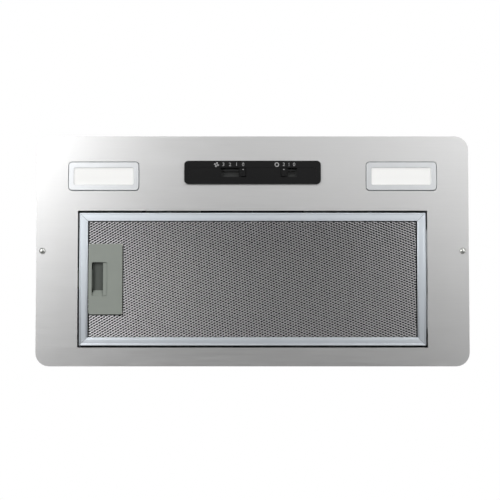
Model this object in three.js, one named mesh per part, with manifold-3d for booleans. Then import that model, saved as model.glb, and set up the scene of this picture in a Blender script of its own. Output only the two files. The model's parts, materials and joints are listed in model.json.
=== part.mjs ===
// Range hood insert: a stainless fascia with a grease filter, two lamps and a control strip in
// it, and above it a sheet-metal casing that holds a double-inlet blower and an outlet collar.
// Millimetres. +Z is up and +Y is towards the wall. The origin is the centre of the plane in
// which the fascia's folded flange lies against the underside of the cabinet.
import * as THREE from "three";
import { mergeVertices } from "three/addons/utils/BufferGeometryUtils.js";
import Module from "manifold-3d";

const wasm = await Module();
wasm.setup();

// ---------------------------------------------------------------------------------------
// Driving dimensions
// ---------------------------------------------------------------------------------------
const SEAT = 0.3; // gap between two pieces that lie on each other
const RUN = 0.6; // gap beside a piece that slides or turns
const CUT = 1; // how far a cutting solid runs past what it cuts

const FASCIA = { width: 545, depth: 290, height: 3.2, corner: 17, sheet: 0.8, flange: 14 };

const CASING = {
  sideOverhang: 23.5, // fascia edge to casing wall, left and right
  depthOverhang: 16, // the same, front and rear
  height: 168,
  sheet: 0.8,
  wrapFoot: 5.5,
  endFoot: 12,
  tab: 10,
  beadWidth: 5,
  beadHeight: 1.4,
  beadInset: 34,
  beadLength: 60,
  beadCount: 2,
  beadPitch: 14,
  outletGap: 1, // blower's neck to the edge of the hole above it
};

const CLIP = {
  width: 16,
  foot: 38, // the leg that lies on the end panel
  lift: 22,
  sheet: 0.8,
  reach: 7.5, // how far the free leg stands out
  drop: 34,
  shoulder: 1.6,
  toeIn: 2.6,
  toe: 8,
  inset: 52,
};

const FIXING = { edge: 7.7, shank: 1.9, hole: 2.25, headRadius: 4, headHeight: 2.2, length: 14, tip: 3 };

const FILTER = {
  sideMargin: 54, // fascia edge to filter edge
  frontMargin: 96.4,
  rearMargin: 25.4,
  gap: 1.3, // running gap to the fascia
  bottom: -3,
  height: 9,
  wall: 1,
  bevel: 0.4,
  sideFace: 11.2,
  endFace: 10.7,
  backFace: 8,
};

const MESH = { sheet: 0.8, long: 33, short: 16.5, strand: 2.4, rim: 5, tilt: -5 };
const BACK_MESH = { sheet: 0.8, long: 62, short: 31, strand: 3.6, rim: 5, tilt: 5 };
const PLEAT = { pitch: 16, sheet: 0.5 };

const HANDLE = {
  inset: 12, // filter's left edge to the handle
  width: 42.7,
  length: 88.8,
  corner: 3,
  proud: 0.4, // below the fascia's face
  face: 1.6,
  lip: 2, // face beyond the body, all round
  wall: 1.5,
  floor: 1, // closes the housing above the latch
  pocketInset: 6.3,
  pocketWidth: 16.4,
  pocketLength: 41.6,
  pocketShift: -1.6,
  pocketCorner: 2,
};

const LATCH = {
  boltWidth: 24,
  boltHeight: 1.6,
  boltBottom: -1.7,
  reach: 6, // bolt beyond the filter's edge
  plate: 1.5,
  lead: 1.2, // the bolt's nose is cut back by this
  nose: 0.8,
  wallInset: 18.3, // handle's left edge to the finger wall
  wall: 3.2,
  travel: 7,
};
const SPRING = { radius: 2.3, wire: 0.4, turns: 4, length: 13, sides: 5, stepsPerTurn: 8 };

const HINGE = { length: 125, sheet: 1, leg: 7, tongue: 8.2, tongueWidth: 40 };

const STRIP = {
  width: 172.2,
  length: 29.4,
  centre: 46.1, // fascia's front edge to the strip's middle
  corner: 5,
  proud: 4,
  wall: 2,
  side: 2.5,
  holeInsetX: 11, // strip's end to the end of the hole behind it
  holeInsetY: 5,
  panelWidth: 160,
  panelLength: 12.2,
  panelDepth: 0.6,
  panelCorner: 1,
};

const KNOB = {
  width: 6,
  length: 10.4,
  corner: 0.8,
  proud: 1.8,
  slotGap: 0.55, // knob's ends to the slot's long sides
  flange: 2.4,
  flangeHeight: 1,
  stem: 3,
  stemTop: 5.5,
};
const FAN_SWITCH = { start: -11.8, travel: -24.9 };
const LAMP_SWITCH = { start: 39.4, travel: 13 };

const CONTROL_BOX = { width: 158, length: 25, height: 20, corner: 3, wall: 1.6, foot: 4, footSheet: 1.2 };
const BOARD = { sheet: 1.6, height: 10, inset: 5, switchLength: 12, switchWall: 3, switchBottom: 4 };

const LAMP = {
  edge: 40.7, // fascia's side edge to the lamp's outer end
  front: 50.7, // fascia's front edge to the lamp's middle
  width: 88,
  length: 35.5,
  corner: 4,
  gap: 1,
  proud: 1.2,
  height: 3.4,
  windowWidth: 75.2,
  windowLength: 21.2,
  windowCorner: 1.5,
  rim: 1,
  rebate: 2.2,
  rebateCorner: 1,
  diffuser: 1.8,
  trayHeight: 18,
  trayWall: 1.5,
  trayFoot: 2.7,
  trayFootSheet: 1,
  board: 1.3,
  boardMargin: 2,
};

const COLLAR = {
  base: 170,
  baseSheet: 3,
  baseCorner: 8,
  bore: 72,
  wall: 2.4,
  height: 50,
  ledge: 4,
  ledgeSheet: 2,
  flapHeight: 18,
  bar: 2.4,
  barTop: 1, // bar above the flaps' pins
};
const FLAP = { sheet: 1.5, pin: 1.5, pinGap: 0.3, pinDepth: 3, pinInset: 0.8, offset: 3.5, rimGap: 1.5 };

const BLOWER = {
  behindCentre: -7.5, // axis from the filter's middle
  halfWidth: 60,
  wall: 2,
  cutOff: 5, // impeller to the scroll's start
  growth: 20,
  tongueAngle: -10,
  sumpGap: 8.4, // scroll to filter
  neck: 16, // tongue to the outlet flange
  flange: 10,
  flangeSheet: 2.3,
  inletGap: 1.5, // inlet beyond the blades' inner edges
  mouth: 1.5, // bell mouth's wall
  mouthDepth: 2.5,
  mouthGap: 1.5, // bell mouth to the impeller's rim
  steps: 26,
};

const IMPELLER = {
  disc: 2,
  ring: 2,
  ringWidth: 4,
  bladeDepth: 10.5,
  bladeSheet: 0.9,
  bladeTipInset: 0.4,
  blades: 28,
  lean: 5.5, // degrees from a blade's foot to its tip
  hub: 11,
  hubLeft: 7,
  hubRight: 16,
};

const MOTOR = {
  airGap: 10, // can to the blades
  hubGap: 3, // can to the impeller's hub
  wall: 1.6,
  lip: 4,
  shaft: 4,
  shaftEnd: 2.7, // shaft beyond the nut
  bearing: 8,
  bearingLength: 6,
  boss: 11,
  throat: 6,
  stator: 30,
  rotorGap: 0.6,
  nut: 6.5,
  nutLength: 5,
};

const BRACKET = {
  sheet: 2,
  ring: 5,
  arm: 12,
  armFlare: 3, // extra half width where an arm leaves the ring
  armEnd: 6, // arm beyond the middle of its grommet
  armAngles: [60, 180, 300],
  hole: 2.5,
  grommet: 5.5,
  grommetLength: 1.7,
  grommetInset: 2.5, // inlet's edge to the grommet
};

const TERMINAL = {
  width: 80,
  length: 60,
  height: 35,
  sheet: 2,
  left: 44,
  rearGap: 16, // base to the capacitor behind it
  wall: 1.6,
  rim: 2,
  corner: 4,
  blockInset: 12,
  blockLength: 16,
  blockHeight: 14,
};
const CAPACITOR = { radius: 14, length: 52, rear: 49 };
const GLAND = { hole: 8, flange: 11, bore: 4, depth: 8, sheet: 2, left: 27 };
const LEAD = { radius: 2.6, lampRadius: 2, sides: 8, ringEvery: 9, motorInset: 8 };

// ---------------------------------------------------------------------------------------
// Derived places
// ---------------------------------------------------------------------------------------
const half = { x: FASCIA.width / 2, y: FASCIA.depth / 2 };
const faceZ = -FASCIA.height;
const sheetTop = faceZ + FASCIA.sheet;
const seatZ = sheetTop + SEAT; // where parts rest on the fascia sheet

const casing = {
  x: half.x - CASING.sideOverhang,
  y: half.y - CASING.depthOverhang,
  inside: CASING.height - CASING.sheet,
};

const filter = {
  x: half.x - FILTER.sideMargin,
  front: -half.y + FILTER.frontMargin,
  rear: half.y - FILTER.rearMargin,
  top: FILTER.bottom + FILTER.height,
};
filter.middle = (filter.front + filter.rear) / 2;
filter.floor = FILTER.bottom + FILTER.wall;
filter.ceiling = filter.top - FILTER.wall;

const meshBottom = filter.floor + SEAT;
const pleatBottom = meshBottom + MESH.sheet + SEAT;
const backMeshBottom = filter.ceiling - SEAT - BACK_MESH.sheet;
const pleatHeight = backMeshBottom - SEAT - pleatBottom;

const handle = {
  x0: -filter.x + HANDLE.inset,
  x1: -filter.x + HANDLE.inset + HANDLE.width,
  y0: filter.middle - HANDLE.length / 2,
  y1: filter.middle + HANDLE.length / 2,
  bottom: faceZ - HANDLE.proud,
  top: filter.top - SEAT,
};
handle.ceiling = handle.top - HANDLE.floor;
handle.faceTop = handle.bottom + HANDLE.face;
handle.pocketX0 = handle.x0 + HANDLE.pocketInset;
handle.pocketX1 = handle.pocketX0 + HANDLE.pocketWidth;
handle.pocketY0 = filter.middle + HANDLE.pocketShift - HANDLE.pocketLength / 2;
handle.pocketY1 = handle.pocketY0 + HANDLE.pocketLength;

const window = {
  x0: handle.x0 + HANDLE.lip - SEAT,
  x1: handle.x1 - HANDLE.lip + SEAT,
  y0: handle.y0 + HANDLE.lip - SEAT,
  y1: handle.y1 - HANDLE.lip + SEAT,
};

const bolt = {
  x0: -filter.x - LATCH.reach,
  y0: filter.middle - LATCH.boltWidth / 2,
  y1: filter.middle + LATCH.boltWidth / 2,
  top: LATCH.boltBottom + LATCH.boltHeight,
};
const latchPlateTop = handle.ceiling - SEAT;
const latchPlateBottom = latchPlateTop - LATCH.plate;
const fingerWall = { x0: handle.x0 + LATCH.wallInset, x1: handle.x0 + LATCH.wallInset + LATCH.wall };
const springEnd = fingerWall.x1 + SEAT + SPRING.length + SEAT;

const strip = {
  y: -half.y + STRIP.centre,
  top: faceZ - SEAT,
  bottom: faceZ - STRIP.proud,
};
strip.plateTop = strip.bottom + STRIP.wall;

const lamp = { x: half.x - LAMP.edge - LAMP.width / 2, y: -half.y + LAMP.front };

// The impeller fills the height that the filter, the sump and the outlet neck leave.
const scrollSpan = 270 - BLOWER.tongueAngle;
const growthBelow = (BLOWER.growth * (180 - BLOWER.tongueAngle)) / scrollSpan;
const outletTop = casing.inside - SEAT;
const blowerHeight = outletTop - filter.top - BLOWER.sumpGap - BLOWER.wall - BLOWER.neck;
const impellerRadius = Math.floor((blowerHeight - growthBelow) / 2 - BLOWER.cutOff);
const scrollStart = impellerRadius + BLOWER.cutOff;
const bladeInner = impellerRadius - IMPELLER.bladeDepth;
const inletRadius = bladeInner + BLOWER.inletGap;
const impellerHalf = BLOWER.halfWidth - BLOWER.mouthDepth - BLOWER.mouthGap;
const blower = {
  y: filter.middle + BLOWER.behindCentre,
  z: filter.top + BLOWER.sumpGap + BLOWER.wall + scrollStart + growthBelow,
};
const outletZ = outletTop - blower.z; // in the blower's own frame
const tongueY = scrollStart * Math.sin(rad(BLOWER.tongueAngle));
const outletFront = -(scrollStart + BLOWER.growth);
const collar = {
  y: blower.y + (outletFront + tongueY) / 2,
  z: CASING.height + SEAT,
};
collar.flapZ = collar.z + COLLAR.flapHeight;

const sidePlate = -BLOWER.halfWidth - BLOWER.wall; // outer face of the left side plate
const motorLeft = sidePlate - SEAT - BRACKET.grommetLength - SEAT - BRACKET.sheet;
const motorRight = -IMPELLER.hubLeft - MOTOR.hubGap;
const capRight = motorLeft - SEAT; // inner face of the can's cap
const motorRadius = bladeInner - MOTOR.airGap;
const grommetAt = inletRadius + BRACKET.grommetInset + BRACKET.grommet; // from the shaft's axis
const statorRadius = motorRadius - MOTOR.wall - SEAT;
const rotorRadius = (statorRadius + MOTOR.shaft) / 2;

const capacitorY = casing.y - CAPACITOR.rear;
const terminal = {
  x0: -casing.x + TERMINAL.left,
  x1: -casing.x + TERMINAL.left + TERMINAL.width,
  y1: capacitorY - CAPACITOR.radius - TERMINAL.rearGap,
};
terminal.y0 = terminal.y1 - TERMINAL.length;
terminal.coverTop = outletTop - TERMINAL.sheet - SEAT;
terminal.bottom = outletTop - TERMINAL.height;

// ---------------------------------------------------------------------------------------
// Finishes
// ---------------------------------------------------------------------------------------
function finish(color, roughness, metalness) {
  return new THREE.MeshStandardMaterial({ color, roughness, metalness });
}

const FINISH = {
  stainless: finish(0xc6c8ca, 0.35, 1),
  galvanised: finish(0xaeb3b6, 0.5, 1),
  aluminium: finish(0xc3cad1, 0.4, 1),
  meshAluminium: finish(0xa4a9ad, 0.45, 1),
  springSteel: finish(0x8c9196, 0.35, 1),
  steel: finish(0x9a9ea2, 0.3, 1),
  zinc: finish(0xc2c4c0, 0.35, 1),
  copperAndIron: finish(0x6f6a66, 0.5, 1),
  blackPlastic: finish(0x1d1d1e, 0.4, 0),
  darkPlastic: finish(0x2d3034, 0.5, 0),
  greyPlastic: finish(0x8f958e, 0.45, 0),
  silverPlastic: finish(0xbfc1c3, 0.35, 0.3),
  whitePlastic: finish(0xe9e8e3, 0.5, 0),
  diffuser: finish(0xf4f4f1, 0.5, 0),
  rubber: finish(0x202122, 0.8, 0),
  circuitBoard: finish(0x2c6a3f, 0.5, 0),
  whiteBoard: finish(0xe6e8e6, 0.5, 0),
  cable: finish(0x3b3d40, 0.6, 0),
};

// ---------------------------------------------------------------------------------------
// Shapes and solids
// ---------------------------------------------------------------------------------------
const AXIS = {
  x: new THREE.Vector3(1, 0, 0),
  y: new THREE.Vector3(0, 1, 0),
  z: new THREE.Vector3(0, 0, 1),
};

function rad(degrees) {
  return THREE.MathUtils.degToRad(degrees);
}

function solidOf(geometry) {
  const bare = new THREE.BufferGeometry().setAttribute("position", geometry.getAttribute("position"));
  bare.setIndex(geometry.index);
  const merged = mergeVertices(bare, 1e-4);
  return new wasm.Manifold(
    new wasm.Mesh({
      numProp: 3,
      vertProperties: new Float32Array(merged.attributes.position.array),
      triVerts: new Uint32Array(merged.index.array),
    }),
  );
}

function geometryOf(solid) {
  const { numProp, vertProperties, triVerts } = solid.getMesh();
  const positions = new Float32Array((vertProperties.length / numProp) * 3);
  for (let i = 0; i * numProp < vertProperties.length; i++)
    positions.set(vertProperties.subarray(i * numProp, i * numProp + 3), i * 3);
  const geometry = new THREE.BufferGeometry();
  geometry.setAttribute("position", new THREE.BufferAttribute(positions, 3));
  geometry.setIndex(new THREE.BufferAttribute(new Uint32Array(triVerts), 1));
  return geometry;
}

function box([x0, x1], [y0, y1], [z0, z1]) {
  const geometry = new THREE.BoxGeometry(x1 - x0, y1 - y0, z1 - z0);
  return solidOf(geometry.translate((x0 + x1) / 2, (y0 + y1) / 2, (z0 + z1) / 2));
}

// A closed outline, as a shape, from pairs of coordinates.
function outline(points) {
  return new THREE.Shape(points.map(([u, v]) => new THREE.Vector2(u, v)));
}

function roundedRect(x0, x1, y0, y1, r) {
  const shape = new THREE.Shape();
  shape.moveTo(x0 + r, y0);
  shape.absarc(x1 - r, y0 + r, r, -Math.PI / 2, 0);
  shape.absarc(x1 - r, y1 - r, r, 0, Math.PI / 2);
  shape.absarc(x0 + r, y1 - r, r, Math.PI / 2, Math.PI);
  shape.absarc(x0 + r, y0 + r, r, Math.PI, 1.5 * Math.PI);
  return shape;
}

function circle(radius, u = 0, v = 0) {
  return new THREE.Shape().absarc(u, v, radius, 0, 2 * Math.PI);
}

function annulus(outer, inner) {
  const shape = circle(outer);
  shape.holes.push(circle(inner));
  return shape;
}

// A strip of even thickness along a bent line.
function stripOutline(points, thickness) {
  const line = points.map(([u, v]) => new THREE.Vector2(u, v));
  const direction = (i) => line[i + 1].clone().sub(line[i]).normalize();
  const edge = (sign) =>
    line.map((point, i) => {
      const before = direction(Math.max(i - 1, 0));
      const after = direction(Math.min(i, line.length - 2));
      const normal = new THREE.Vector2(-before.y - after.y, before.x + after.x).normalize();
      const stretch = normal.dot(new THREE.Vector2(-before.y, before.x));
      return point.clone().addScaledVector(normal, (sign * thickness) / 2 / stretch);
    });
  return new THREE.Shape([...edge(1), ...edge(-1).reverse()]);
}

// Each arc of the shape, a corner or a whole circle, takes the given number of steps.
function extrude(shape, depth, arcSteps) {
  return new THREE.ExtrudeGeometry(shape, { depth, curveSegments: arcSteps / 2, bevelEnabled: false });
}

// An outline in XY, from z0 up to z1.
function alongZ(shape, [z0, z1], arcSteps = 3) {
  return solidOf(extrude(shape, z1 - z0, arcSteps).translate(0, 0, z0));
}

// An outline in YZ, from x0 to x1.
function alongX(shape, [x0, x1], arcSteps = 12) {
  const turn = new THREE.Matrix4().makeBasis(AXIS.y, AXIS.z, AXIS.x);
  return solidOf(extrude(shape, x1 - x0, arcSteps).applyMatrix4(turn).translate(x0, 0, 0));
}

// An outline in XZ, from y0 to y1.
function alongY(shape, [y0, y1], arcSteps = 3) {
  const turn = new THREE.Matrix4().makeBasis(AXIS.x, AXIS.z, AXIS.y.clone().negate());
  return solidOf(extrude(shape, y1 - y0, arcSteps).applyMatrix4(turn).translate(0, y1, 0));
}

// A ring or, with no bore, a disc round the X axis.
function ringX(outer, bore, span, sides = 24) {
  return alongX(bore ? annulus(outer, bore) : circle(outer), span, sides);
}

function revolveZ(profile, segments = 24) {
  const points = profile.map(([r, z]) => new THREE.Vector2(r, z));
  return solidOf(new THREE.LatheGeometry(points, segments).rotateX(Math.PI / 2));
}

function joined(solids) {
  return solids.reduce((sum, solid) => sum.add(solid));
}

function place(group, name, solid, material) {
  const mesh = new THREE.Mesh(geometryOf(solid), material);
  mesh.name = name;
  group.add(mesh);
  return mesh;
}

// The same piece on the left: the right-hand one, mirrored.
function placeMirrored(group, name, solid, material) {
  place(group, name, solid, material).scale.x = -1;
}

// A round lead through its points, square to both of its ends.
function lead(points, radius) {
  const path = new THREE.CatmullRomCurve3(points.map((p) => new THREE.Vector3(...p)));
  const section = new THREE.Shape();
  for (let i = 0; i < LEAD.sides; i++) {
    const angle = (2 * Math.PI * i) / LEAD.sides;
    section[i ? "lineTo" : "moveTo"](radius * Math.cos(angle), radius * Math.sin(angle));
  }
  const steps = Math.max(8, Math.round(path.getLength() / LEAD.ringEvery));
  return solidOf(new THREE.ExtrudeGeometry(section, { extrudePath: path, steps, bevelEnabled: false }));
}

// ---------------------------------------------------------------------------------------
// Fascia and its screws
// ---------------------------------------------------------------------------------------
function fascia(group) {
  const { sheet, flange, corner } = FASCIA;
  const inset = (by, r) => roundedRect(-half.x + by, half.x - by, -half.y + by, half.y - by, r);
  const blank = alongZ(inset(0, corner), [faceZ, 0], 6);
  const hollow = alongZ(inset(sheet, corner - sheet), [sheetTop, -sheet], 6);
  const mouth = alongZ(inset(flange, Math.max(corner - flange, 1)), [-2 * sheet, CUT], 2);
  let pan = blank.subtract(hollow).subtract(mouth);

  const through = [faceZ - CUT, sheetTop + CUT];
  const filterHole = box(
    [-filter.x - FILTER.gap, filter.x + FILTER.gap],
    [filter.front - FILTER.gap, filter.rear + FILTER.gap],
    through,
  );
  const stripHole = box(
    [-STRIP.width / 2 + STRIP.holeInsetX, STRIP.width / 2 - STRIP.holeInsetX],
    [strip.y - STRIP.length / 2 + STRIP.holeInsetY, strip.y + STRIP.length / 2 - STRIP.holeInsetY],
    through,
  );
  pan = pan.subtract(filterHole).subtract(stripHole);
  for (const side of [-1, 1]) {
    const x = side * lamp.x;
    const w = LAMP.width / 2 + LAMP.gap;
    const l = LAMP.length / 2 + LAMP.gap;
    const lampHole = roundedRect(x - w, x + w, lamp.y - l, lamp.y + l, LAMP.corner + LAMP.gap);
    pan = pan.subtract(alongZ(lampHole, through));
    const screwHole = circle(FIXING.hole, side * (half.x - FIXING.edge), 0);
    pan = pan.subtract(alongZ(screwHole, [faceZ - CUT, CUT], 12));
  }
  place(group, "fascia", pan, FINISH.stainless);
}

function fixingScrew(group, name, side) {
  const { headRadius, headHeight, shank, length, tip } = FIXING;
  const seat = faceZ - SEAT;
  const dome = [];
  for (let i = 0; i <= 4; i++) {
    const angle = rad((90 * i) / 4);
    dome.push([headRadius * Math.sin(angle), seat - headHeight * Math.cos(angle)]);
  }
  const screw = revolveZ([...dome, [shank, seat], [shank, length - tip], [0, length]], 16);
  place(group, name, screw, FINISH.zinc).position.x = side * (half.x - FIXING.edge);
}

// ---------------------------------------------------------------------------------------
// Casing
// ---------------------------------------------------------------------------------------
function casingWrap(group) {
  const { sheet: s, wrapFoot, height, beadWidth, beadInset, beadLength } = CASING;
  const { y, inside } = casing;
  const bent = outline([
    [-y, seatZ], [-y, height], [y, height], [y, seatZ],
    [y - wrapFoot, seatZ], [y - wrapFoot, seatZ + s], [y - s, seatZ + s], [y - s, inside],
    [-y + s, inside], [-y + s, seatZ + s], [-y + wrapFoot, seatZ + s], [-y + wrapFoot, seatZ],
  ]);
  const reach = casing.x - s - SEAT;
  let wrap = alongX(bent, [-reach, reach]);
  for (let i = 0; i < CASING.beadCount; i++)
    for (const side of [-1, 1]) {
      const x = side * (casing.x - beadInset - i * CASING.beadPitch);
      const bead = roundedRect(
        x - beadWidth / 2, x + beadWidth / 2, -y + beadInset, -y + beadInset + beadLength,
        beadWidth / 2.01, // a little under half, so that the ends keep a short flat
      );
      wrap = wrap.add(alongZ(bead, [inside + s / 2, height + CASING.beadHeight]));
    }
  const outletHole = box(
    [-BLOWER.halfWidth - CASING.outletGap, BLOWER.halfWidth + CASING.outletGap],
    [blower.y + outletFront - CASING.outletGap, blower.y + tongueY + CASING.outletGap],
    [inside - CUT, height + CUT],
  );
  const glandAt = circle(GLAND.hole, -casing.x + GLAND.left, filter.middle);
  const glandHole = alongZ(glandAt, [inside - CUT, height + CUT], 16);
  place(group, "casing_wrap", wrap.subtract(outletHole).subtract(glandHole), FINISH.galvanised);
}

function endPanel() {
  const { sheet: s, tab, endFoot, wrapFoot, height } = CASING;
  const { x, y } = casing;
  const inner = y - s - SEAT; // just inside the wrap
  const top = casing.inside - SEAT;
  const foot = y - wrapFoot - SEAT;
  return joined([
    box([x - s, x], [-y, y], [seatZ, height]),
    box([x - tab, x - s / 2], [-inner, -inner + s], [seatZ + s + SEAT, top]),
    box([x - tab, x - s / 2], [inner - s, inner], [seatZ + s + SEAT, top]),
    box([x - tab, x - s / 2], [-inner, inner], [top - s, top]),
    box([x - endFoot, x - s / 2], [-foot, foot], [seatZ, seatZ + s]),
  ]);
}

function springClip() {
  const { foot, lift, reach, drop, sheet, width, shoulder, toeIn, toe } = CLIP;
  const x = casing.x + SEAT + sheet / 2;
  const top = lift + foot;
  const bent = stripOutline(
    [[x, lift], [x, top], [x + shoulder, top + shoulder], [x + reach, top - drop],
      [x + reach - toeIn, top - drop - toe]],
    sheet,
  );
  return alongY(bent, [-width / 2, width / 2]);
}

function casingAndClips(group) {
  casingWrap(group);
  place(group, "end_panel_right", endPanel(), FINISH.galvanised);
  placeMirrored(group, "end_panel_left", endPanel(), FINISH.galvanised);
  for (const [where, y] of [["front", -1], ["rear", 1]]) {
    const row = new THREE.Group();
    row.position.y = y * (casing.y - CLIP.inset);
    group.add(row);
    place(row, `spring_clip_right_${where}`, springClip(), FINISH.springSteel);
    placeMirrored(row, `spring_clip_left_${where}`, springClip(), FINISH.springSteel);
  }
}

// ---------------------------------------------------------------------------------------
// Outlet collar and its two non-return flaps
// ---------------------------------------------------------------------------------------
function outletCollar(group) {
  const { base, baseSheet, baseCorner, bore, wall, height, ledge, ledgeSheet, bar, barTop } = COLLAR;
  const plate = roundedRect(-base / 2, base / 2, -base / 2, base / 2, baseCorner);
  const hingeZ = COLLAR.flapHeight;
  const ledgeTop = hingeZ - FLAP.sheet / 2 - SEAT;
  let body = joined([
    alongZ(plate, [0, baseSheet]).subtract(alongZ(circle(bore), [-CUT, baseSheet + CUT], 36)),
    alongZ(annulus(bore + wall, bore), [baseSheet / 2, height], 36),
    alongZ(annulus(bore + wall / 2, bore - ledge), [ledgeTop - ledgeSheet, ledgeTop], 36),
    box([-bore - wall / 2, bore + wall / 2], [-bar / 2, bar / 2], [ledgeTop - ledgeSheet, hingeZ + barTop]),
  ]);
  const pinReach = bore + wall + CUT;
  const barSpan = bore - ledge - FLAP.pinDepth; // the pins' holes stop here and leave the bar whole
  for (const y of [-FLAP.offset, FLAP.offset]) {
    const hole = circle(FLAP.pin + FLAP.pinGap, y, hingeZ);
    body = body.subtract(alongX(hole, [-pinReach, -barSpan])).subtract(alongX(hole, [barSpan, pinReach]));
  }
  const mesh = place(group, "outlet_collar", body, FINISH.blackPlastic);
  mesh.position.set(0, collar.y, collar.z);
}

function flap(group, name, side) {
  const { sheet, pin, pinInset, offset, rimGap } = FLAP;
  const r = COLLAR.bore - rimGap;
  const start = Math.asin(offset / r);
  const disc = new THREE.Shape().absarc(0, 0, r, start, Math.PI - start);
  const reach = COLLAR.bore + COLLAR.wall - pinInset;
  const leaf = alongZ(disc, [-sheet / 2, sheet / 2], 18);
  const spindle = alongX(circle(pin, offset, 0), [-reach, reach]);
  const mesh = place(group, name, leaf.add(spindle), FINISH.darkPlastic);
  mesh.position.set(0, collar.y, collar.flapZ);
  if (side < 0) mesh.rotation.z = Math.PI;
}

// ---------------------------------------------------------------------------------------
// Blower, in a frame of its own: X is the shaft, the origin the impeller's middle
// ---------------------------------------------------------------------------------------
// The scroll's inside, grown by a wall, as an outline in YZ that is closed at a given height.
function scrollOutline(grow, top) {
  const first = THREE.MathUtils.radToDeg(Math.asin((tongueY + grow) / (scrollStart + grow)));
  const points = [];
  for (let i = 0; i <= BLOWER.steps; i++) {
    const angle = first + ((270 - first) * i) / BLOWER.steps;
    const r = scrollStart + grow + (BLOWER.growth * (angle - BLOWER.tongueAngle)) / scrollSpan;
    points.push([r * Math.sin(rad(angle)), r * Math.cos(rad(angle))]);
  }
  points.push([outletFront - grow, top], [tongueY + grow, top]);
  return outline(points);
}

function scrollHalf() {
  const { halfWidth, wall, flange, flangeSheet, mouth, mouthDepth } = BLOWER;
  const shell = alongX(scrollOutline(wall, outletZ), [SEAT / 2, halfWidth + wall]);
  const inside = alongX(scrollOutline(0, outletZ + CUT), [-CUT, halfWidth]);
  const rim = box(
    [SEAT / 2, halfWidth + wall + flange],
    [outletFront - wall - flange, tongueY + wall + flange],
    [outletZ - flangeSheet, outletZ],
  );
  const inlet = ringX(inletRadius, 0, [halfWidth - CUT, halfWidth + wall + CUT], 32);
  const mouthSpan = [halfWidth - mouthDepth, halfWidth + wall / 2];
  const bellMouth = ringX(inletRadius + mouth, inletRadius, mouthSpan, 32);
  return shell.add(rim).subtract(inside).subtract(inlet).add(bellMouth);
}

// One forward-curved blade: an outline in YZ, leaning the way that the impeller turns.
function bladeOutline(turn) {
  const leanAt = (share) => turn - rad(IMPELLER.lean) * share * share;
  const point = (share) => {
    const r = bladeInner + (impellerRadius - IMPELLER.bladeTipInset - bladeInner) * share;
    return [r * Math.cos(leanAt(share)), r * Math.sin(leanAt(share))];
  };
  return stripOutline([point(0), point(0.5), point(1)], IMPELLER.bladeSheet);
}

function impeller() {
  const { disc, ring, ringWidth, blades, hub, hubLeft, hubRight } = IMPELLER;
  const rims = [-impellerHalf, impellerHalf - ring].map((x) =>
    ringX(impellerRadius, impellerRadius - ringWidth, [x, x + ring], 28),
  );
  let wheel = joined([
    ringX(impellerRadius, 0, [-disc / 2, disc / 2], 28),
    ringX(hub, 0, [-hubLeft, hubRight], 20),
    ...rims,
  ]);
  for (let i = 0; i < blades; i++) {
    const span = impellerHalf - ring / 2;
    wheel = wheel.add(alongX(bladeOutline((2 * Math.PI * i) / blades), [-span, span]));
  }
  return wheel.subtract(ringX(MOTOR.shaft + SEAT, 0, [-hubLeft - CUT, hubRight + CUT], 16));
}

function motor(group) {
  const { wall, lip, shaft, shaftEnd, bearing, bearingLength, boss, throat, nutLength } = MOTOR;
  const inside = motorRight - wall; // inner face of the can's end wall
  const can = joined([
    ringX(motorRadius, motorRadius - wall, [motorLeft, motorRight], 32),
    ringX(motorRadius, throat, [inside, motorRight], 32),
    ringX(boss, bearing + SEAT, [inside - bearingLength - SEAT, inside + wall / 2], 20),
  ]);
  place(group, "motor_can", can, FINISH.steel);

  const cap = joined([
    ringX(motorRadius + lip, throat, [capRight - wall, capRight], 32),
    ringX(boss, bearing + SEAT, [capRight - wall / 2, capRight + bearingLength + SEAT], 20),
  ]);
  place(group, "motor_end_cap", cap, FINISH.steel);

  const bearingRing = (x0) => ringX(bearing, shaft + SEAT, [x0, x0 + bearingLength], 16);
  place(group, "bearing_left", bearingRing(capRight + SEAT), FINISH.steel);
  place(group, "bearing_right", bearingRing(inside - SEAT - bearingLength), FINISH.steel);

  const middle = (motorLeft + inside) / 2;
  const stack = [middle - MOTOR.stator / 2, middle + MOTOR.stator / 2];
  place(group, "stator", ringX(statorRadius, rotorRadius + MOTOR.rotorGap, stack, 24), FINISH.copperAndIron);
  place(group, "rotor", ringX(rotorRadius, shaft + SEAT, stack, 24), FINISH.copperAndIron);

  const nutLeft = IMPELLER.hubRight + SEAT;
  const nutSpan = [nutLeft, nutLeft + nutLength];
  const shaftSpan = [capRight - wall / 2, nutSpan[1] + shaftEnd];
  place(group, "motor_shaft", ringX(shaft, 0, shaftSpan, 16), FINISH.steel);
  const nut = ringX(MOTOR.nut, 0, nutSpan, 6).subtract(ringX(shaft + SEAT, 0, nutSpan, 16));
  place(group, "hub_nut", nut, FINISH.zinc);
}

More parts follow.
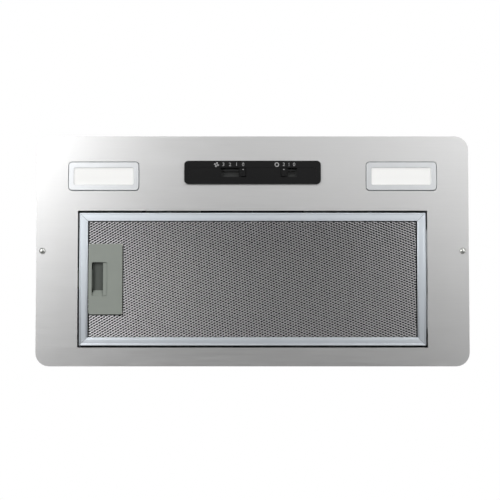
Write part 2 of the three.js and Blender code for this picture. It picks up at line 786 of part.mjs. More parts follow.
// A flat spider round the can, on three rubber grommets that stand on the left side plate.
function motorBracket(group) {
  const { sheet, ring, arm, armFlare, armEnd, hole, grommet } = BRACKET;
  const armReach = grommetAt + armEnd;
  const span = [motorLeft, motorLeft + sheet];
  const past = [span[0] - CUT, span[1] + CUT];
  let spider = ringX(motorRadius + ring, motorRadius + SEAT, span, 32);
  const turns = BRACKET.armAngles.map(rad);
  for (const turn of turns) {
    const [c, s] = [Math.cos(turn), Math.sin(turn)];
    const across = (r, w) => [r * s + w * c, r * c - w * s];
    const inner = motorRadius + ring / 2;
    const limb = outline([
      across(inner, -arm / 2 - armFlare), across(armReach, -arm / 2),
      across(armReach, arm / 2), across(inner, arm / 2 + armFlare),
    ]);
    spider = spider.add(alongX(limb, span));
  }
  spider = spider.subtract(ringX(motorRadius + SEAT, 0, past, 32));
  turns.forEach((turn, i) => {
    const [y, z] = [grommetAt * Math.sin(turn), grommetAt * Math.cos(turn)];
    spider = spider.subtract(alongX(circle(hole, y, z), past));
    const pad = ringX(grommet, hole, [span[1] + SEAT, sidePlate - SEAT], 12);
    place(group, `grommet_${i + 1}`, pad, FINISH.rubber).position.set(0, y, z);
  });
  place(group, "motor_bracket", spider, FINISH.galvanised);
}

function blowerUnit(root) {
  const group = new THREE.Group();
  group.position.set(0, blower.y, blower.z);
  root.add(group);
  place(group, "scroll_right", scrollHalf(), FINISH.darkPlastic);
  placeMirrored(group, "scroll_left", scrollHalf(), FINISH.darkPlastic);
  place(group, "impeller", impeller(), FINISH.darkPlastic);
  motor(group);
  motorBracket(group);
}

// ---------------------------------------------------------------------------------------
// Electrical pieces under the top
// ---------------------------------------------------------------------------------------
function electrics(group) {
  const { x0, x1, y0, y1, coverTop, bottom } = terminal;
  const { sheet, wall, rim, corner, blockInset, blockLength, blockHeight } = TERMINAL;
  const block = box(
    [x0 + blockInset, x1 - blockInset], [y0 + blockInset, y0 + blockInset + blockLength],
    [coverTop - blockHeight, outletTop - sheet / 2],
  );
  const base = box([x0, x1], [y0, y1], [outletTop - sheet, outletTop]).add(block);
  place(group, "terminal_base", base, FINISH.whitePlastic);
  const within = (by, r) => roundedRect(x0 + by, x1 - by, y0 + by, y1 - by, r);
  const shell = within(rim, corner);
  const room = alongZ(within(rim + wall, corner - wall), [bottom + wall, coverTop + CUT]);
  const cover = alongZ(shell, [bottom, coverTop]).subtract(room);
  place(group, "terminal_cover", cover, FINISH.greyPlastic);

  const { radius, length } = CAPACITOR;
  const capacitor = ringX(radius, 0, [0, length], 20);
  place(group, "run_capacitor", capacitor, FINISH.whitePlastic).position.set(
    x0, capacitorY, casing.inside - SEAT - radius,
  );

  const gland = CASING.height + SEAT;
  const bush = joined([
    alongZ(annulus(GLAND.flange, GLAND.bore), [gland, gland + GLAND.sheet], 16),
    alongZ(
      annulus(GLAND.hole - SEAT, GLAND.bore),
      [CASING.height - GLAND.depth, gland + GLAND.sheet / 2], 16,
    ),
  ]);
  place(group, "cable_gland", bush, FINISH.blackPlastic).position.set(
    -casing.x + GLAND.left, filter.middle, 0,
  );
}

function leads(group) {
  const capFace = capRight - MOTOR.wall - SEAT;
  const coverSide = terminal.x1 - TERMINAL.rim + SEAT;
  const entryZ = (terminal.bottom + terminal.coverTop) / 2;
  const motorExit = blower.z + motorRadius - LEAD.motorInset;
  const mid = { y: (terminal.y0 + terminal.y1) / 2, z: (motorExit + entryZ) / 2 };
  const motorLead = lead([
    [capFace, blower.y, motorExit], [capFace - 10, blower.y, motorExit],
    [(capFace + coverSide) / 2, (blower.y + mid.y) / 2, mid.z],
    [coverSide + 10, mid.y, entryZ], [coverSide, mid.y, entryZ],
  ], LEAD.radius);
  place(group, "motor_lead", motorLead, FINISH.cable);

  const boxTop = seatZ + CONTROL_BOX.height + SEAT;
  const coverFront = terminal.y0 + TERMINAL.rim - SEAT;
  const entryX = (terminal.x0 + terminal.x1) / 2;
  const controlLead = lead([
    [-50, strip.y, boxTop], [-50, strip.y, boxTop + 12], [-66, strip.y + 2, boxTop + 30],
    [-110, strip.y + 10, boxTop + 62], [entryX + 12, coverFront - 46, entryZ - 14],
    [entryX, coverFront - 12, entryZ], [entryX, coverFront, entryZ],
  ], LEAD.radius);
  place(group, "control_lead", controlLead, FINISH.cable);

  const from = CONTROL_BOX.width / 2 + SEAT;
  const to = lamp.x - LAMP.width / 2 - 2 * SEAT - LAMP.trayWall;
  const z = seatZ + 10;
  const lampLead = () => lead([
    [from, strip.y, z], [from + 9, strip.y, z], [(from + to) / 2, (strip.y + lamp.y) / 2 - 3, z - 3],
    [to - 9, lamp.y, z], [to, lamp.y, z],
  ], LEAD.lampRadius);
  place(group, "lamp_lead_right", lampLead(), FINISH.cable);
  placeMirrored(group, "lamp_lead_left", lampLead(), FINISH.cable);
}

// ---------------------------------------------------------------------------------------
// Controls
// ---------------------------------------------------------------------------------------
// From one end of a knob's travel to the other, with a margin at both ends.
function travelSpan({ start, travel }, margin) {
  const [low, high] = [Math.min(start, start + travel), Math.max(start, start + travel)];
  return [low - margin, high + margin];
}

function controlStrip(group) {
  const { width, length, corner, side, panelWidth, panelLength, panelDepth, panelCorner } = STRIP;
  const [w, l] = [width / 2, length / 2];
  let cover = alongZ(roundedRect(-w, w, -l, l, corner), [strip.bottom, strip.top], 4);
  const hollow = roundedRect(-w + side, w - side, -l + side, l - side, corner - side);
  cover = cover.subtract(alongZ(hollow, [strip.plateTop, strip.top + CUT], 4));
  const [pw, pl] = [panelWidth / 2, panelLength / 2];
  const panel = roundedRect(-pw, pw, -pl, pl, panelCorner);
  cover = cover.subtract(alongZ(panel, [strip.bottom - CUT, strip.bottom + panelDepth], 2));
  for (const knob of [FAN_SWITCH, LAMP_SWITCH]) {
    const slotLength = KNOB.length / 2 + KNOB.slotGap;
    const slot = box(
      travelSpan(knob, KNOB.width / 2 + RUN), [-slotLength, slotLength], [strip.bottom - CUT, strip.top],
    );
    cover = cover.subtract(slot);
  }
  place(group, "control_strip", cover, FINISH.blackPlastic).position.y = strip.y;
}

function knob(group, name, { start }) {
  const { width, length, corner, proud, flange, flangeHeight, stem, stemTop } = KNOB;
  const flangeTop = strip.plateTop + SEAT + flangeHeight;
  const cap = roundedRect(-width / 2, width / 2, -length / 2, length / 2, corner);
  const body = joined([
    alongZ(cap, [strip.bottom - proud, flangeTop - flangeHeight / 2], 2),
    box(
      [-width / 2 - flange, width / 2 + flange], [-length / 2 - flange, length / 2 + flange],
      [flangeTop - flangeHeight, flangeTop],
    ),
    box([-stem / 2, stem / 2], [-stem / 2, stem / 2], [flangeTop - flangeHeight / 2, stemTop]),
  ]);
  place(group, name, body, FINISH.blackPlastic).position.set(start, strip.y, 0);
}

function controlBox(group) {
  const { width, length, height, corner, wall, foot, footSheet } = CONTROL_BOX;
  const [w, l] = [width / 2, length / 2];
  const top = seatZ + height;
  const inner = { w: w - wall, l: l - wall };
  const body = joined([
    alongZ(roundedRect(-w, w, -l, l, corner), [seatZ, top]),
    alongZ(roundedRect(-w - foot, w + foot, -l - foot, l + foot, corner), [seatZ, seatZ + footSheet]),
  ]);
  const hollow = roundedRect(-inner.w, inner.w, -inner.l, inner.l, corner - wall);
  const room = alongZ(hollow, [seatZ - CUT, top - wall]);
  place(group, "control_box", body.subtract(room), FINISH.whitePlastic).position.y = strip.y;

  const boardBottom = seatZ + BOARD.height;
  const edge = { w: inner.w - BOARD.inset, l: inner.l - SEAT };
  let board = box([-edge.w, edge.w], [-edge.l, edge.l], [boardBottom, boardBottom + BOARD.sheet]);
  const slideSlot = KNOB.stem / 2 + RUN;
  const slotTop = KNOB.stemTop + RUN;
  for (const slider of [FAN_SWITCH, LAMP_SWITCH]) {
    const reach = slideSlot + BOARD.switchWall;
    const housing = box(
      travelSpan(slider, reach), [-BOARD.switchLength / 2, BOARD.switchLength / 2],
      [seatZ + BOARD.switchBottom, boardBottom + BOARD.sheet / 2],
    );
    const slot = box(travelSpan(slider, slideSlot), [-slideSlot, slideSlot], [seatZ, slotTop]);
    board = board.add(housing).subtract(slot);
  }
  place(group, "switch_board", board, FINISH.circuitBoard).position.y = strip.y;
}

function controls(group) {
  controlStrip(group);
  controlBox(group);
  knob(group, "fan_knob", FAN_SWITCH);
  knob(group, "lamp_knob", LAMP_SWITCH);
}

// ---------------------------------------------------------------------------------------
// Lamps
// ---------------------------------------------------------------------------------------
function lampUnit(root, name, side) {
  const group = new THREE.Group();
  group.position.set(side * lamp.x, lamp.y, 0);
  root.add(group);
  const rect = (w, l, grow, r) => roundedRect(-w / 2 - grow, w / 2 + grow, -l / 2 - grow, l / 2 + grow, r);
  const { width, length, corner, windowWidth, windowLength, rim, rebate, rebateCorner } = LAMP;
  const { trayWall, trayFoot, trayFootSheet, boardMargin } = LAMP;
  const bottom = faceZ - LAMP.proud;

  const frame = alongZ(rect(width, length, 0, corner), [bottom, bottom + LAMP.height], 4);
  const lens = rect(windowWidth, windowLength, 0, LAMP.windowCorner);
  const seat = rect(windowWidth, windowLength, rebate, rebateCorner);
  const above = bottom + LAMP.height + CUT;
  const bezel = frame
    .subtract(alongZ(lens, [bottom - CUT, above]))
    .subtract(alongZ(seat, [bottom + rim, above], 2));
  place(group, `lamp_bezel_${name}`, bezel, FINISH.silverPlastic);

  const plate = rect(windowWidth, windowLength, rebate - SEAT, rebateCorner);
  const plateBottom = bottom + rim + SEAT;
  place(group, `lamp_diffuser_${name}`, alongZ(plate, [plateBottom, plateBottom + LAMP.diffuser], 2),
    FINISH.diffuser);

  const top = seatZ + LAMP.trayHeight;
  const inside = rect(width, length, SEAT, corner);
  const tray = alongZ(rect(width, length, SEAT + trayWall, corner + 1), [seatZ, top])
    .add(alongZ(
      rect(width, length, SEAT + trayWall + trayFoot, corner + 1), [seatZ, seatZ + trayFootSheet],
    ))
    .subtract(alongZ(inside, [seatZ - CUT, top - trayWall], 4));
  place(group, `lamp_tray_${name}`, tray, FINISH.galvanised);

  const boardTop = top - trayWall - SEAT;
  const board = rect(windowWidth, windowLength, boardMargin, rebateCorner);
  place(group, `led_board_${name}`, alongZ(board, [boardTop - LAMP.board, boardTop], 2), FINISH.whiteBoard);
}

// ---------------------------------------------------------------------------------------
// Filter cassette
// ---------------------------------------------------------------------------------------
// A channel that opens inwards: u runs in from the filter's edge, v is height, and across turns
// u into the outline's own coordinate.
function railProfile(face, across) {
  const { bottom, wall, bevel, backFace } = FILTER;
  const { floor, ceiling, top } = filter;
  return outline([
    [0, bottom + bevel], [bevel, bottom], [face - bevel, bottom], [face, bottom + bevel],
    [face, floor], [wall, floor], [wall, ceiling], [backFace, ceiling], [backFace, top], [0, top],
  ].map(([u, v]) => [across(u), v]));
}

function filterRails(group) {
  const { x, front, rear } = filter;
  const mitre = (SEAT / 2) * Math.SQRT2;
  const deep = FILTER.sideFace * 2;
  const tall = [FILTER.bottom - CUT, filter.top + CUT];

  const side = alongY(railProfile(FILTER.sideFace, (u) => x - u), [front, rear]).intersect(
    alongZ(outline([
      [x, front + mitre], [x, rear - mitre],
      [x - deep, rear - deep - mitre], [x - deep, front + deep + mitre],
    ]), tall),
  );
  place(group, "filter_rail_right", side, FINISH.aluminium);
  const notch = box(
    [x - 2 * FILTER.wall, x + CUT], [bolt.y0 - SEAT, bolt.y1 + SEAT], [filter.floor, bolt.top + SEAT],
  );
  placeMirrored(group, "filter_rail_left", side.subtract(notch), FINISH.aluminium);

  const ends = [["front", front, 1], ["rear", rear, -1]];
  for (const [name, edge, inward] of ends) {
    const rail = alongX(railProfile(FILTER.endFace, (u) => edge + inward * u), [-x, x]).intersect(
      alongZ(outline([
        [-x + mitre, edge], [x - mitre, edge],
        [x - deep - mitre, edge + inward * deep], [-x + deep + mitre, edge + inward * deep],
      ]), tall),
    );
    place(group, `filter_rail_${name}`, rail, FINISH.aluminium);
  }
}

function filterInside(inset) {
  const by = FILTER.wall + SEAT + inset;
  return { x0: -filter.x + by, x1: filter.x - by, y0: filter.front + by, y1: filter.rear - by };
}

// Expanded metal: diamond gaps in a staggered, slightly turned lattice, left out where the
// rails' faces or the handle would meet them.
function expandedSheet({ sheet, long, short, strand, rim, tilt }, bottom, frameFace) {
  const edge = filterInside(0);
  const shrink = 1 - strand / ((long * short) / Math.hypot(long, short));
  const [a, b] = [(long / 2) * shrink, (short / 2) * shrink];
  const centre = new THREE.Vector2(0, filter.middle);
  const reach = Math.ceil(filter.x / short) * 2;
  const margin = frameFace - rim;
  const inSheet = ({ x, y }) =>
    x > edge.x0 + margin && x < edge.x1 - margin && y > edge.y0 + margin && y < edge.y1 - margin;
  const web = strand / 2; // kept between a gap and the window
  const nearWindow = ({ x, y }) =>
    x - a < window.x1 + web && x + a > window.x0 - web &&
    y - b < window.y1 + web && y + b > window.y0 - web;

  const diamonds = [];
  for (let row = -reach; row <= reach; row++)
    for (let column = -reach; column <= reach; column++) {
      const shift = row % 2 ? 0.5 : 0;
      const at = (u, v) =>
        new THREE.Vector2((column + shift) * long + u, (row * short) / 2 + v)
          .rotateAround(new THREE.Vector2(), rad(tilt)).add(centre);
      const corners = [at(a, 0), at(0, b), at(-a, 0), at(0, -b)];
      if (corners.every(inSheet) && !nearWindow(at(0, 0))) diamonds.push(new THREE.Shape(corners));
    }
  const plate = box([edge.x0, edge.x1], [edge.y0, edge.y1], [bottom, bottom + sheet]);
  return plate.subtract(alongZ(diamonds, [bottom - CUT, bottom + sheet + CUT]));
}

// One zigzag sheet between the two flat layers.
function pleatedSheet() {
  const { x0, x1, y0, y1 } = filterInside(SEAT);
  const { pitch, sheet } = PLEAT;
  const count = Math.round((x1 - x0) / pitch) * 2;
  const middle = pleatBottom + pleatHeight / 2;
  const swing = pleatHeight / 2 - sheet;
  const line = [];
  for (let i = 0; i <= count; i++)
    line.push([x0 + sheet + ((x1 - x0 - 2 * sheet) * i) / count, middle + (i % 2 ? swing : -swing)]);
  return alongY(stripOutline(line, sheet), [y0, y1]);
}

function filterLayers(group) {
  const opening = box([window.x0, window.x1], [window.y0, window.y1], [FILTER.bottom, filter.top + CUT]);
  const notch = box(
    [-filter.x - CUT, window.x1 - CUT], [bolt.y0 - SEAT, bolt.y1 + SEAT], [FILTER.bottom, bolt.top + SEAT],
  );
  const cut = opening.add(notch);
  const layers = [
    ["filter_mesh_lower", expandedSheet(MESH, meshBottom, FILTER.sideFace), FINISH.meshAluminium],
    ["filter_pleats", pleatedSheet(), FINISH.meshAluminium],
    ["filter_mesh_upper", expandedSheet(BACK_MESH, backMeshBottom, FILTER.backFace), FINISH.meshAluminium],
  ];
  for (const [name, layer, material] of layers) place(group, name, layer.subtract(cut), material);
}

function handleHousing(group) {
  const { x0, x1, y0, y1, bottom, top, ceiling, faceTop } = handle;
  const { pocketX0, pocketX1, pocketY0, pocketY1 } = handle;
  const { corner, lip, wall, pocketCorner } = HANDLE;
  const face = alongZ(roundedRect(x0, x1, y0, y1, corner), [bottom, faceTop]);
  const body = alongZ(
    roundedRect(x0 + lip, x1 - lip, y0 + lip, y1 - lip, corner), [bottom + HANDLE.face / 2, top],
  );
  const pocket = alongZ(
    roundedRect(pocketX0, pocketX1, pocketY0, pocketY1, pocketCorner), [bottom - CUT, faceTop + CUT],
  );
  const chamber = box(
    [x0 + lip + wall, fingerWall.x1 + LATCH.travel + RUN], [pocketY0, pocketY1], [faceTop, ceiling],
  );
  const springBore = box(
    [fingerWall.x1, springEnd],
    [filter.middle - SPRING.radius - RUN, filter.middle + SPRING.radius + RUN], [faceTop, ceiling],
  );
  const boltSlot = box(
    [x0 - CUT, x0 + lip + wall + CUT], [bolt.y0 - SEAT, bolt.y1 + SEAT],
    [faceTop, bolt.top + SEAT],
  );
  const cavity = joined([pocket, chamber, springBore, boltSlot]);
  place(group, "handle_housing", joined([face, body]).subtract(cavity), FINISH.greyPlastic);
}

// Bolt, step and finger wall in one moulding, with the spring that pushes it out.
function latch(group) {
  const { boltBottom, plate, lead: noseLead, nose } = LATCH;
  const stepX = handle.x0 + HANDLE.lip + HANDLE.wall + SEAT;
  const tongue = outline([
    [bolt.x0 + noseLead, boltBottom], [stepX + plate, boltBottom], [stepX + plate, latchPlateBottom],
    [fingerWall.x1, latchPlateBottom], [fingerWall.x1, latchPlateTop], [stepX, latchPlateTop],
    [stepX, bolt.top], [bolt.x0, bolt.top], [bolt.x0, boltBottom + nose],
  ]);
  const slide = alongY(tongue, [bolt.y0, bolt.y1]).add(box(
    [fingerWall.x0, fingerWall.x1], [handle.pocketY0 + RUN, handle.pocketY1 - RUN],
    [handle.faceTop + SEAT, latchPlateTop],
  ));
  place(group, "latch_slide", slide, FINISH.greyPlastic);

  const { radius, wire, turns, length } = SPRING;
  const coil = new THREE.Curve();
  coil.getPoint = (t, target = new THREE.Vector3()) => {
    const angle = 2 * Math.PI * turns * t;
    const r = radius - wire;
    return target.set(wire + (length - 2 * wire) * t, r * Math.cos(angle), r * Math.sin(angle));
  };
  const section = new THREE.Shape();
  for (let i = 0; i < SPRING.sides; i++) {
    const angle = (2 * Math.PI * i) / SPRING.sides;
    section[i ? "lineTo" : "moveTo"](wire * Math.cos(angle), wire * Math.sin(angle));
  }
  const wireGeometry = new THREE.ExtrudeGeometry(section, {
    extrudePath: coil, steps: turns * SPRING.stepsPerTurn, bevelEnabled: false,
  });
  place(group, "latch_spring", solidOf(wireGeometry), FINISH.springSteel).position.set(
    fingerWall.x1 + SEAT, filter.middle, (handle.faceTop + handle.ceiling) / 2,
  );
}

// A strip on the right rail with two tongues that rest on the edge of the fascia's opening.
function hingePlate(group) {
  const { length, sheet, leg, tongue, tongueWidth } = HINGE;
  const x = filter.x + SEAT;
  const foot = [seatZ, seatZ + sheet];
  const reach = x + sheet + tongue;
  const [y0, y1] = [filter.middle - length / 2, filter.middle + length / 2];
  const plate = joined([
    box([x, x + sheet], [y0, y1], [seatZ + sheet / 2, seatZ + leg]),
    box([x, reach], [y0, y0 + tongueWidth], foot),
    box([x, reach], [y1 - tongueWidth, y1], foot),
  ]);
  place(group, "hinge_plate", plate, FINISH.steel);
}

function filterCassette(group) {
  filterRails(group);
  filterLayers(group);
  handleHousing(group);
  latch(group);
  hingePlate(group);
}

// ---------------------------------------------------------------------------------------
// The whole insert
// ---------------------------------------------------------------------------------------
const insert = new THREE.Group();
insert.name = "range_hood_insert";
fascia(insert);
fixingScrew(insert, "fixing_screw_left", -1);
fixingScrew(insert, "fixing_screw_right", 1);
casingAndClips(insert);
outletCollar(insert);
flap(insert, "flap_rear", 1);
flap(insert, "flap_front", -1);
blowerUnit(insert);
electrics(insert);
leads(insert);
controls(insert);
lampUnit(insert, "left", -1);
lampUnit(insert, "right", 1);
filterCassette(insert);

export default insert;
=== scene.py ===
import json
import math
from contextlib import contextmanager

import bmesh
import bpy
from mathutils import Matrix, Vector

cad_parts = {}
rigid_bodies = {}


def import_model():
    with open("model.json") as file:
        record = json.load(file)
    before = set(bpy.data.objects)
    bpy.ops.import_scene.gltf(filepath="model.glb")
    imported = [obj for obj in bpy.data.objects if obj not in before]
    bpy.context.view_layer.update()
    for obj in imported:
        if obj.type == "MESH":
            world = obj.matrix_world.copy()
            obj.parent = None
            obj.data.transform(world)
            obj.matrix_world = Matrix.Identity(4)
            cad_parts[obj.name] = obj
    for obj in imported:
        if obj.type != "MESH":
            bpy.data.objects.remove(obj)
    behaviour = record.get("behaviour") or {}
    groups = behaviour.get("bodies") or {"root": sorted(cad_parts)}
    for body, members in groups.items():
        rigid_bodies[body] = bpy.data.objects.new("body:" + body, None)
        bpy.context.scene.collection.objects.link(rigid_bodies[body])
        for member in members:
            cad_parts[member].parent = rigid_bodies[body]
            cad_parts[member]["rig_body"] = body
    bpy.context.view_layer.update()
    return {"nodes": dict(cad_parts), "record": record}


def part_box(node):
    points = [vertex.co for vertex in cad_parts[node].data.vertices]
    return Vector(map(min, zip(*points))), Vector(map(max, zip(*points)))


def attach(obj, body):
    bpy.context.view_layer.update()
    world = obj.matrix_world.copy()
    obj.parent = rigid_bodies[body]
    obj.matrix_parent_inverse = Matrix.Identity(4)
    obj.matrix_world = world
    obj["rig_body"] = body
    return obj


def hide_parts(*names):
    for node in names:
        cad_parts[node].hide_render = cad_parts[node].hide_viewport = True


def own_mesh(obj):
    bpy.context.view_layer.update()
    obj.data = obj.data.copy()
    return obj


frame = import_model()
scene = bpy.context.scene

MM = 0.001
SLOT = {row["node"]: row["material_slot"] for row in frame["record"]["subparts"]}
BODY = {node: obj["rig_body"] for node, obj in frame["nodes"].items()}


# ---- Small tools ----
def add(tree, kind, inputs=None, **settings):
    """Adds a node to a shader or geometry tree, with its settings and its inputs' values or links.
    A node that is given as an input stands for its first output."""
    node = tree.nodes.new(kind)
    for setting, value in settings.items():
        setattr(node, setting, value)
    for socket, value in (inputs or {}).items():
        if isinstance(value, bpy.types.Node):
            value = value.outputs[0]
        if isinstance(value, bpy.types.NodeSocket):
            tree.links.new(value, node.inputs[socket])
        else:
            node.inputs[socket].default_value = value
    return node


def linear(colour):
    """The linear colour, with alpha, of an sRGB hex value."""
    parts = [int(colour[i:i + 2], 16) / 255 for i in (1, 3, 5)]
    return [c / 12.92 if c <= 0.04045 else ((c + 0.055) / 1.055) ** 2.4 for c in parts] + [1.0]


def per_metre(size_mm):
    """How many cells of a pattern of that real size lie in a metre."""
    return 1 / (size_mm * MM)


def mm(*values):
    """A vector from millimetres."""
    return Vector(values) * MM


# ---- Camera, light and floor ----
CAMERA_LENS, SENSOR_WIDTH = 85, 36  # millimetres
CAMERA_TILT = math.radians(2.6)  # the camera stands a little behind the point below the middle
CAMERA_DISTANCE = 1.487
CAMERA_TARGET = mm(-3.2, -1.1, -3.2)
CAMERA_REACH = (0.05, 100)
STUDIO_LIGHTS = {
    # name: place in metres, width of the round lamp in metres, watts
    "key_low_left": ((-0.75, -0.58, -1.45), 0.8, 7.0),
    "fill_low_right": ((0.95, -0.5, -1.45), 1.0, 2.8),
    "fill_low_front": ((0.8, -0.98, -1.4), 0.8, 5.4),
    "fill_low_middle": ((0.22, -0.38, -1.42), 0.6, 0.8),
    "net_low_left": ((-0.75, -1.05, -1.4), 0.6, 0.7),
    "fill_low_left": ((-1.1, -0.08, -1.4), 0.9, 6.0),
    "fill_low_rear": ((1.1, -0.04, -1.4), 0.8, 3.2),
    "edge_front": ((0.1, -1.5, -0.35), 0.3, 1.4),
    "edge_right": ((1.5, 0.1, -0.4), 0.3, 1.2),
    "top_front": ((0.7, -1.3, 1.9), 1.8, 14),
    "top_rear": ((-1.2, 1.3, 1.7), 1.4, 11),
}
FASCIA_AIM, CASING_AIM = (0, 0, 0), (0, 0, 0.1)  # what the lights below and above look at
WORLD_FILL = 0.18  # how much light falls on things from all round, where white is 1
FLOOR_DROP = 1.85  # floor below the cabinet's underside
FLOOR_SIZE = 60.0
FLOOR_GLOW = 0.65  # makes the floor pale to the camera and keeps the shadow on it
# Painted shade: the floor's glow in reflections is dim under the object and paler far from it.
MIRRORED_FLOOR_PAINTED_SHADE = {"From Min": 2.4, "From Max": 4.0, "To Min": 0.01, "To Max": 0.5}  # metres, glow


def camera():
    data = bpy.data.cameras.new("camera")
    data.lens = CAMERA_LENS
    data.sensor_width = SENSOR_WIDTH
    data.clip_start, data.clip_end = CAMERA_REACH
    obj = bpy.data.objects.new("camera", data)
    scene.collection.objects.link(obj)
    right = Vector((1, 0, 0))
    up = Vector((0, -math.cos(CAMERA_TILT), -math.sin(CAMERA_TILT)))
    back = right.cross(up)
    place = CAMERA_TARGET + back * CAMERA_DISTANCE
    obj.matrix_world = Matrix.Translation(place) @ Matrix((right, up, back)).transposed().to_4x4()
    scene.camera = obj


def area_light(name, place, size, power):
    data = bpy.data.lights.new(name, "AREA")
    data.shape = "DISK"
    data.size = size
    data.energy = power
    obj = bpy.data.objects.new(name, data)
    scene.collection.objects.link(obj)
    place = Vector(place)
    aim = Vector(CASING_AIM if place.z > 0 else FASCIA_AIM)
    obj.location = place
    obj.rotation_mode = "QUATERNION"
    obj.rotation_quaternion = (aim - place).to_track_quat("-Z", "Y")


def ray_kinds(tree):
    """Whether the camera sees a place itself, and whether it sees it mirrored or through glass."""
    rays = add(tree, "ShaderNodeLightPath").outputs
    mirrored = add(tree, "ShaderNodeMath", {
        0: rays["Is Glossy Ray"], 1: rays["Is Transmission Ray"],
    }, operation="MAXIMUM")
    return rays["Is Camera Ray"], mirrored


def studio():
    """White to the camera and in reflections, and a softer fill for the light that falls on things."""
    world = bpy.data.worlds.new("studio")
    world.use_nodes = True
    scene.world = world
    tree = world.node_tree
    direct, mirrored = ray_kinds(tree)
    seen = add(tree, "ShaderNodeMath", {0: direct, 1: mirrored}, operation="MAXIMUM")
    strength = add(tree, "ShaderNodeMapRange", {"Value": seen, "To Min": WORLD_FILL, "To Max": 1.0})
    background = tree.nodes["Background"]
    background.inputs["Color"].default_value = (1, 1, 1, 1)
    tree.links.new(strength.outputs[0], background.inputs["Strength"])
    for name, (place, size, power) in STUDIO_LIGHTS.items():
        area_light(name, place, size, power)


def floor():
    """A pale floor. Its glow in reflections is painted shade: dim near the object and paler far from it, so
    the steel mirrors it dark near the object.
    """
    material, tree, shader, place = blank_material("pale_painted_floor", 0.9)
    shader.inputs["Base Color"].default_value = linear("#b2b2b1")
    shader.inputs["Emission Color"].default_value = linear("#ffffff")
    direct, mirrored = ray_kinds(tree)
    distance = add(tree, "ShaderNodeVectorMath", {0: place}, operation="LENGTH").outputs["Value"]
    paler = add(tree, "ShaderNodeMapRange", {"Value": distance, **MIRRORED_FLOOR_PAINTED_SHADE})
    painted_mirrored_glow = add(tree, "ShaderNodeMath", {0: mirrored, 1: paler}, operation="MULTIPLY")
    glow = add(tree, "ShaderNodeMath", {0: direct, 1: FLOOR_GLOW, 2: painted_mirrored_glow}, operation="MULTIPLY_ADD")
    tree.links.new(glow.outputs[0], shader.inputs["Emission Strength"])
    reach = FLOOR_SIZE / 2
    corners = [(-reach, -reach), (reach, -reach), (reach, reach), (-reach, reach)]
    mesh = bpy.data.meshes.new("floor")
    mesh.from_pydata([(x, y, -FLOOR_DROP) for x, y in corners], [], [(0, 1, 2, 3)])
    mesh.materials.append(material)
    new_object("floor", mesh)


# ---- Finishes ----
MIX_A, MIX_B, MIX_OUT = 6, 7, 2  # a Mix node's colour sockets


def blank_material(name, roughness, metallic=0.0):
    """A new material with its tree, its shader and the places on the object."""
    material = bpy.data.materials.new(name)
    material.use_nodes = True
    tree = material.node_tree
    shader = tree.nodes["Principled BSDF"]
    shader.inputs["Roughness"].default_value = roughness
    shader.inputs["Metallic"].default_value = metallic
    return material, tree, shader, add(tree, "ShaderNodeTexCoord").outputs["Object"]


def skin(tree, shader, tone, shades, tooth=None, rough=None, relief=None):
    """Colour between two shades by the tone. The tooth, if there is one, moves the roughness within
    the given range, and raises the surface by the given strength and depth in millimetres."""
    dark, light = (linear(shade) for shade in shades)
    colour = add(tree, "ShaderNodeMix", {0: tone, MIX_A: dark, MIX_B: light}, data_type="RGBA")
    tree.links.new(colour.outputs[MIX_OUT], shader.inputs["Base Color"])
    if rough:
        varied = add(tree, "ShaderNodeMapRange", {"Value": tooth, **rough})
        tree.links.new(varied.outputs[0], shader.inputs["Roughness"])
    if relief:
        strength, depth = relief
        bump = add(tree, "ShaderNodeBump", {"Height": tooth, "Strength": strength, "Distance": depth * MM})
        tree.links.new(bump.outputs[0], shader.inputs["Normal"])


def brushed_metal(name, dark, light, roughness, grain, bump):
    """Sheet that was drawn through abrasive belts: fine lines along X, a little lighter and darker,
    and rough across them. The real lines are about 0.1 mm apart; these are as coarse as show."""
    material, tree, shader, place = blank_material(name, roughness, 1.0)
    along, across = grain
    stretched = add(tree, "ShaderNodeMapping", {
        "Vector": place, "Scale": (per_metre(along), per_metre(across), per_metre(across)),
    })
    lines = add(tree, "ShaderNodeTexNoise", {
        "Vector": stretched, "Scale": 1.0, "Detail": 3.0, "Roughness": 0.65,
    })
    skin(tree, shader, lines, (dark, light), lines, {
        "From Min": 0.3, "From Max": 0.7, "To Min": roughness - 0.04, "To Max": roughness + 0.05,
    }, (bump, 0.02))
    return material


def galvanised_steel():
    """Zinc-coated sheet: flat crystals about 8 mm across, each a little lighter or glossier."""
    material, tree, shader, place = blank_material("galvanised_steel", 0.42, 1.0)
    warp = add(tree, "ShaderNodeTexNoise", {"Vector": place, "Scale": per_metre(14), "Detail": 2.0})
    shift = mm(4, 4, 4)
    bent = add(tree, "ShaderNodeVectorMath", {0: warp.outputs["Color"], 1: shift}, operation="MULTIPLY")
    moved = add(tree, "ShaderNodeVectorMath", {0: place, 1: bent}, operation="ADD")
    crystals = add(tree, "ShaderNodeTexVoronoi", {"Vector": moved, "Scale": per_metre(8)})
    shade = add(tree, "ShaderNodeSeparateColor", {0: crystals.outputs["Color"]}).outputs
    skin(tree, shader, shade[0], ("#9fa5a8", "#bcc1c3"), shade[1], {"To Min": 0.34, "To Max": 0.52})
    return material


def satin_metal(name, dark, light, roughness, patch, dimple):
    """Metal with an even satin skin, anodised, plated, blued or as rolled: soft patches of tone over
    a fine tooth that spreads the highlights."""
    material, tree, shader, place = blank_material(name, roughness, 1.0)
    patches = add(tree, "ShaderNodeTexNoise", {"Vector": place, "Scale": per_metre(patch), "Detail": 4.0})
    tooth = add(tree, "ShaderNodeTexNoise", {"Vector": place, "Scale": per_metre(dimple), "Detail": 2.0})
    rough = {"To Min": roughness - 0.06, "To Max": roughness + 0.06}
    skin(tree, shader, patches, (dark, light), tooth, rough, (0.25, 0.02))
    return material


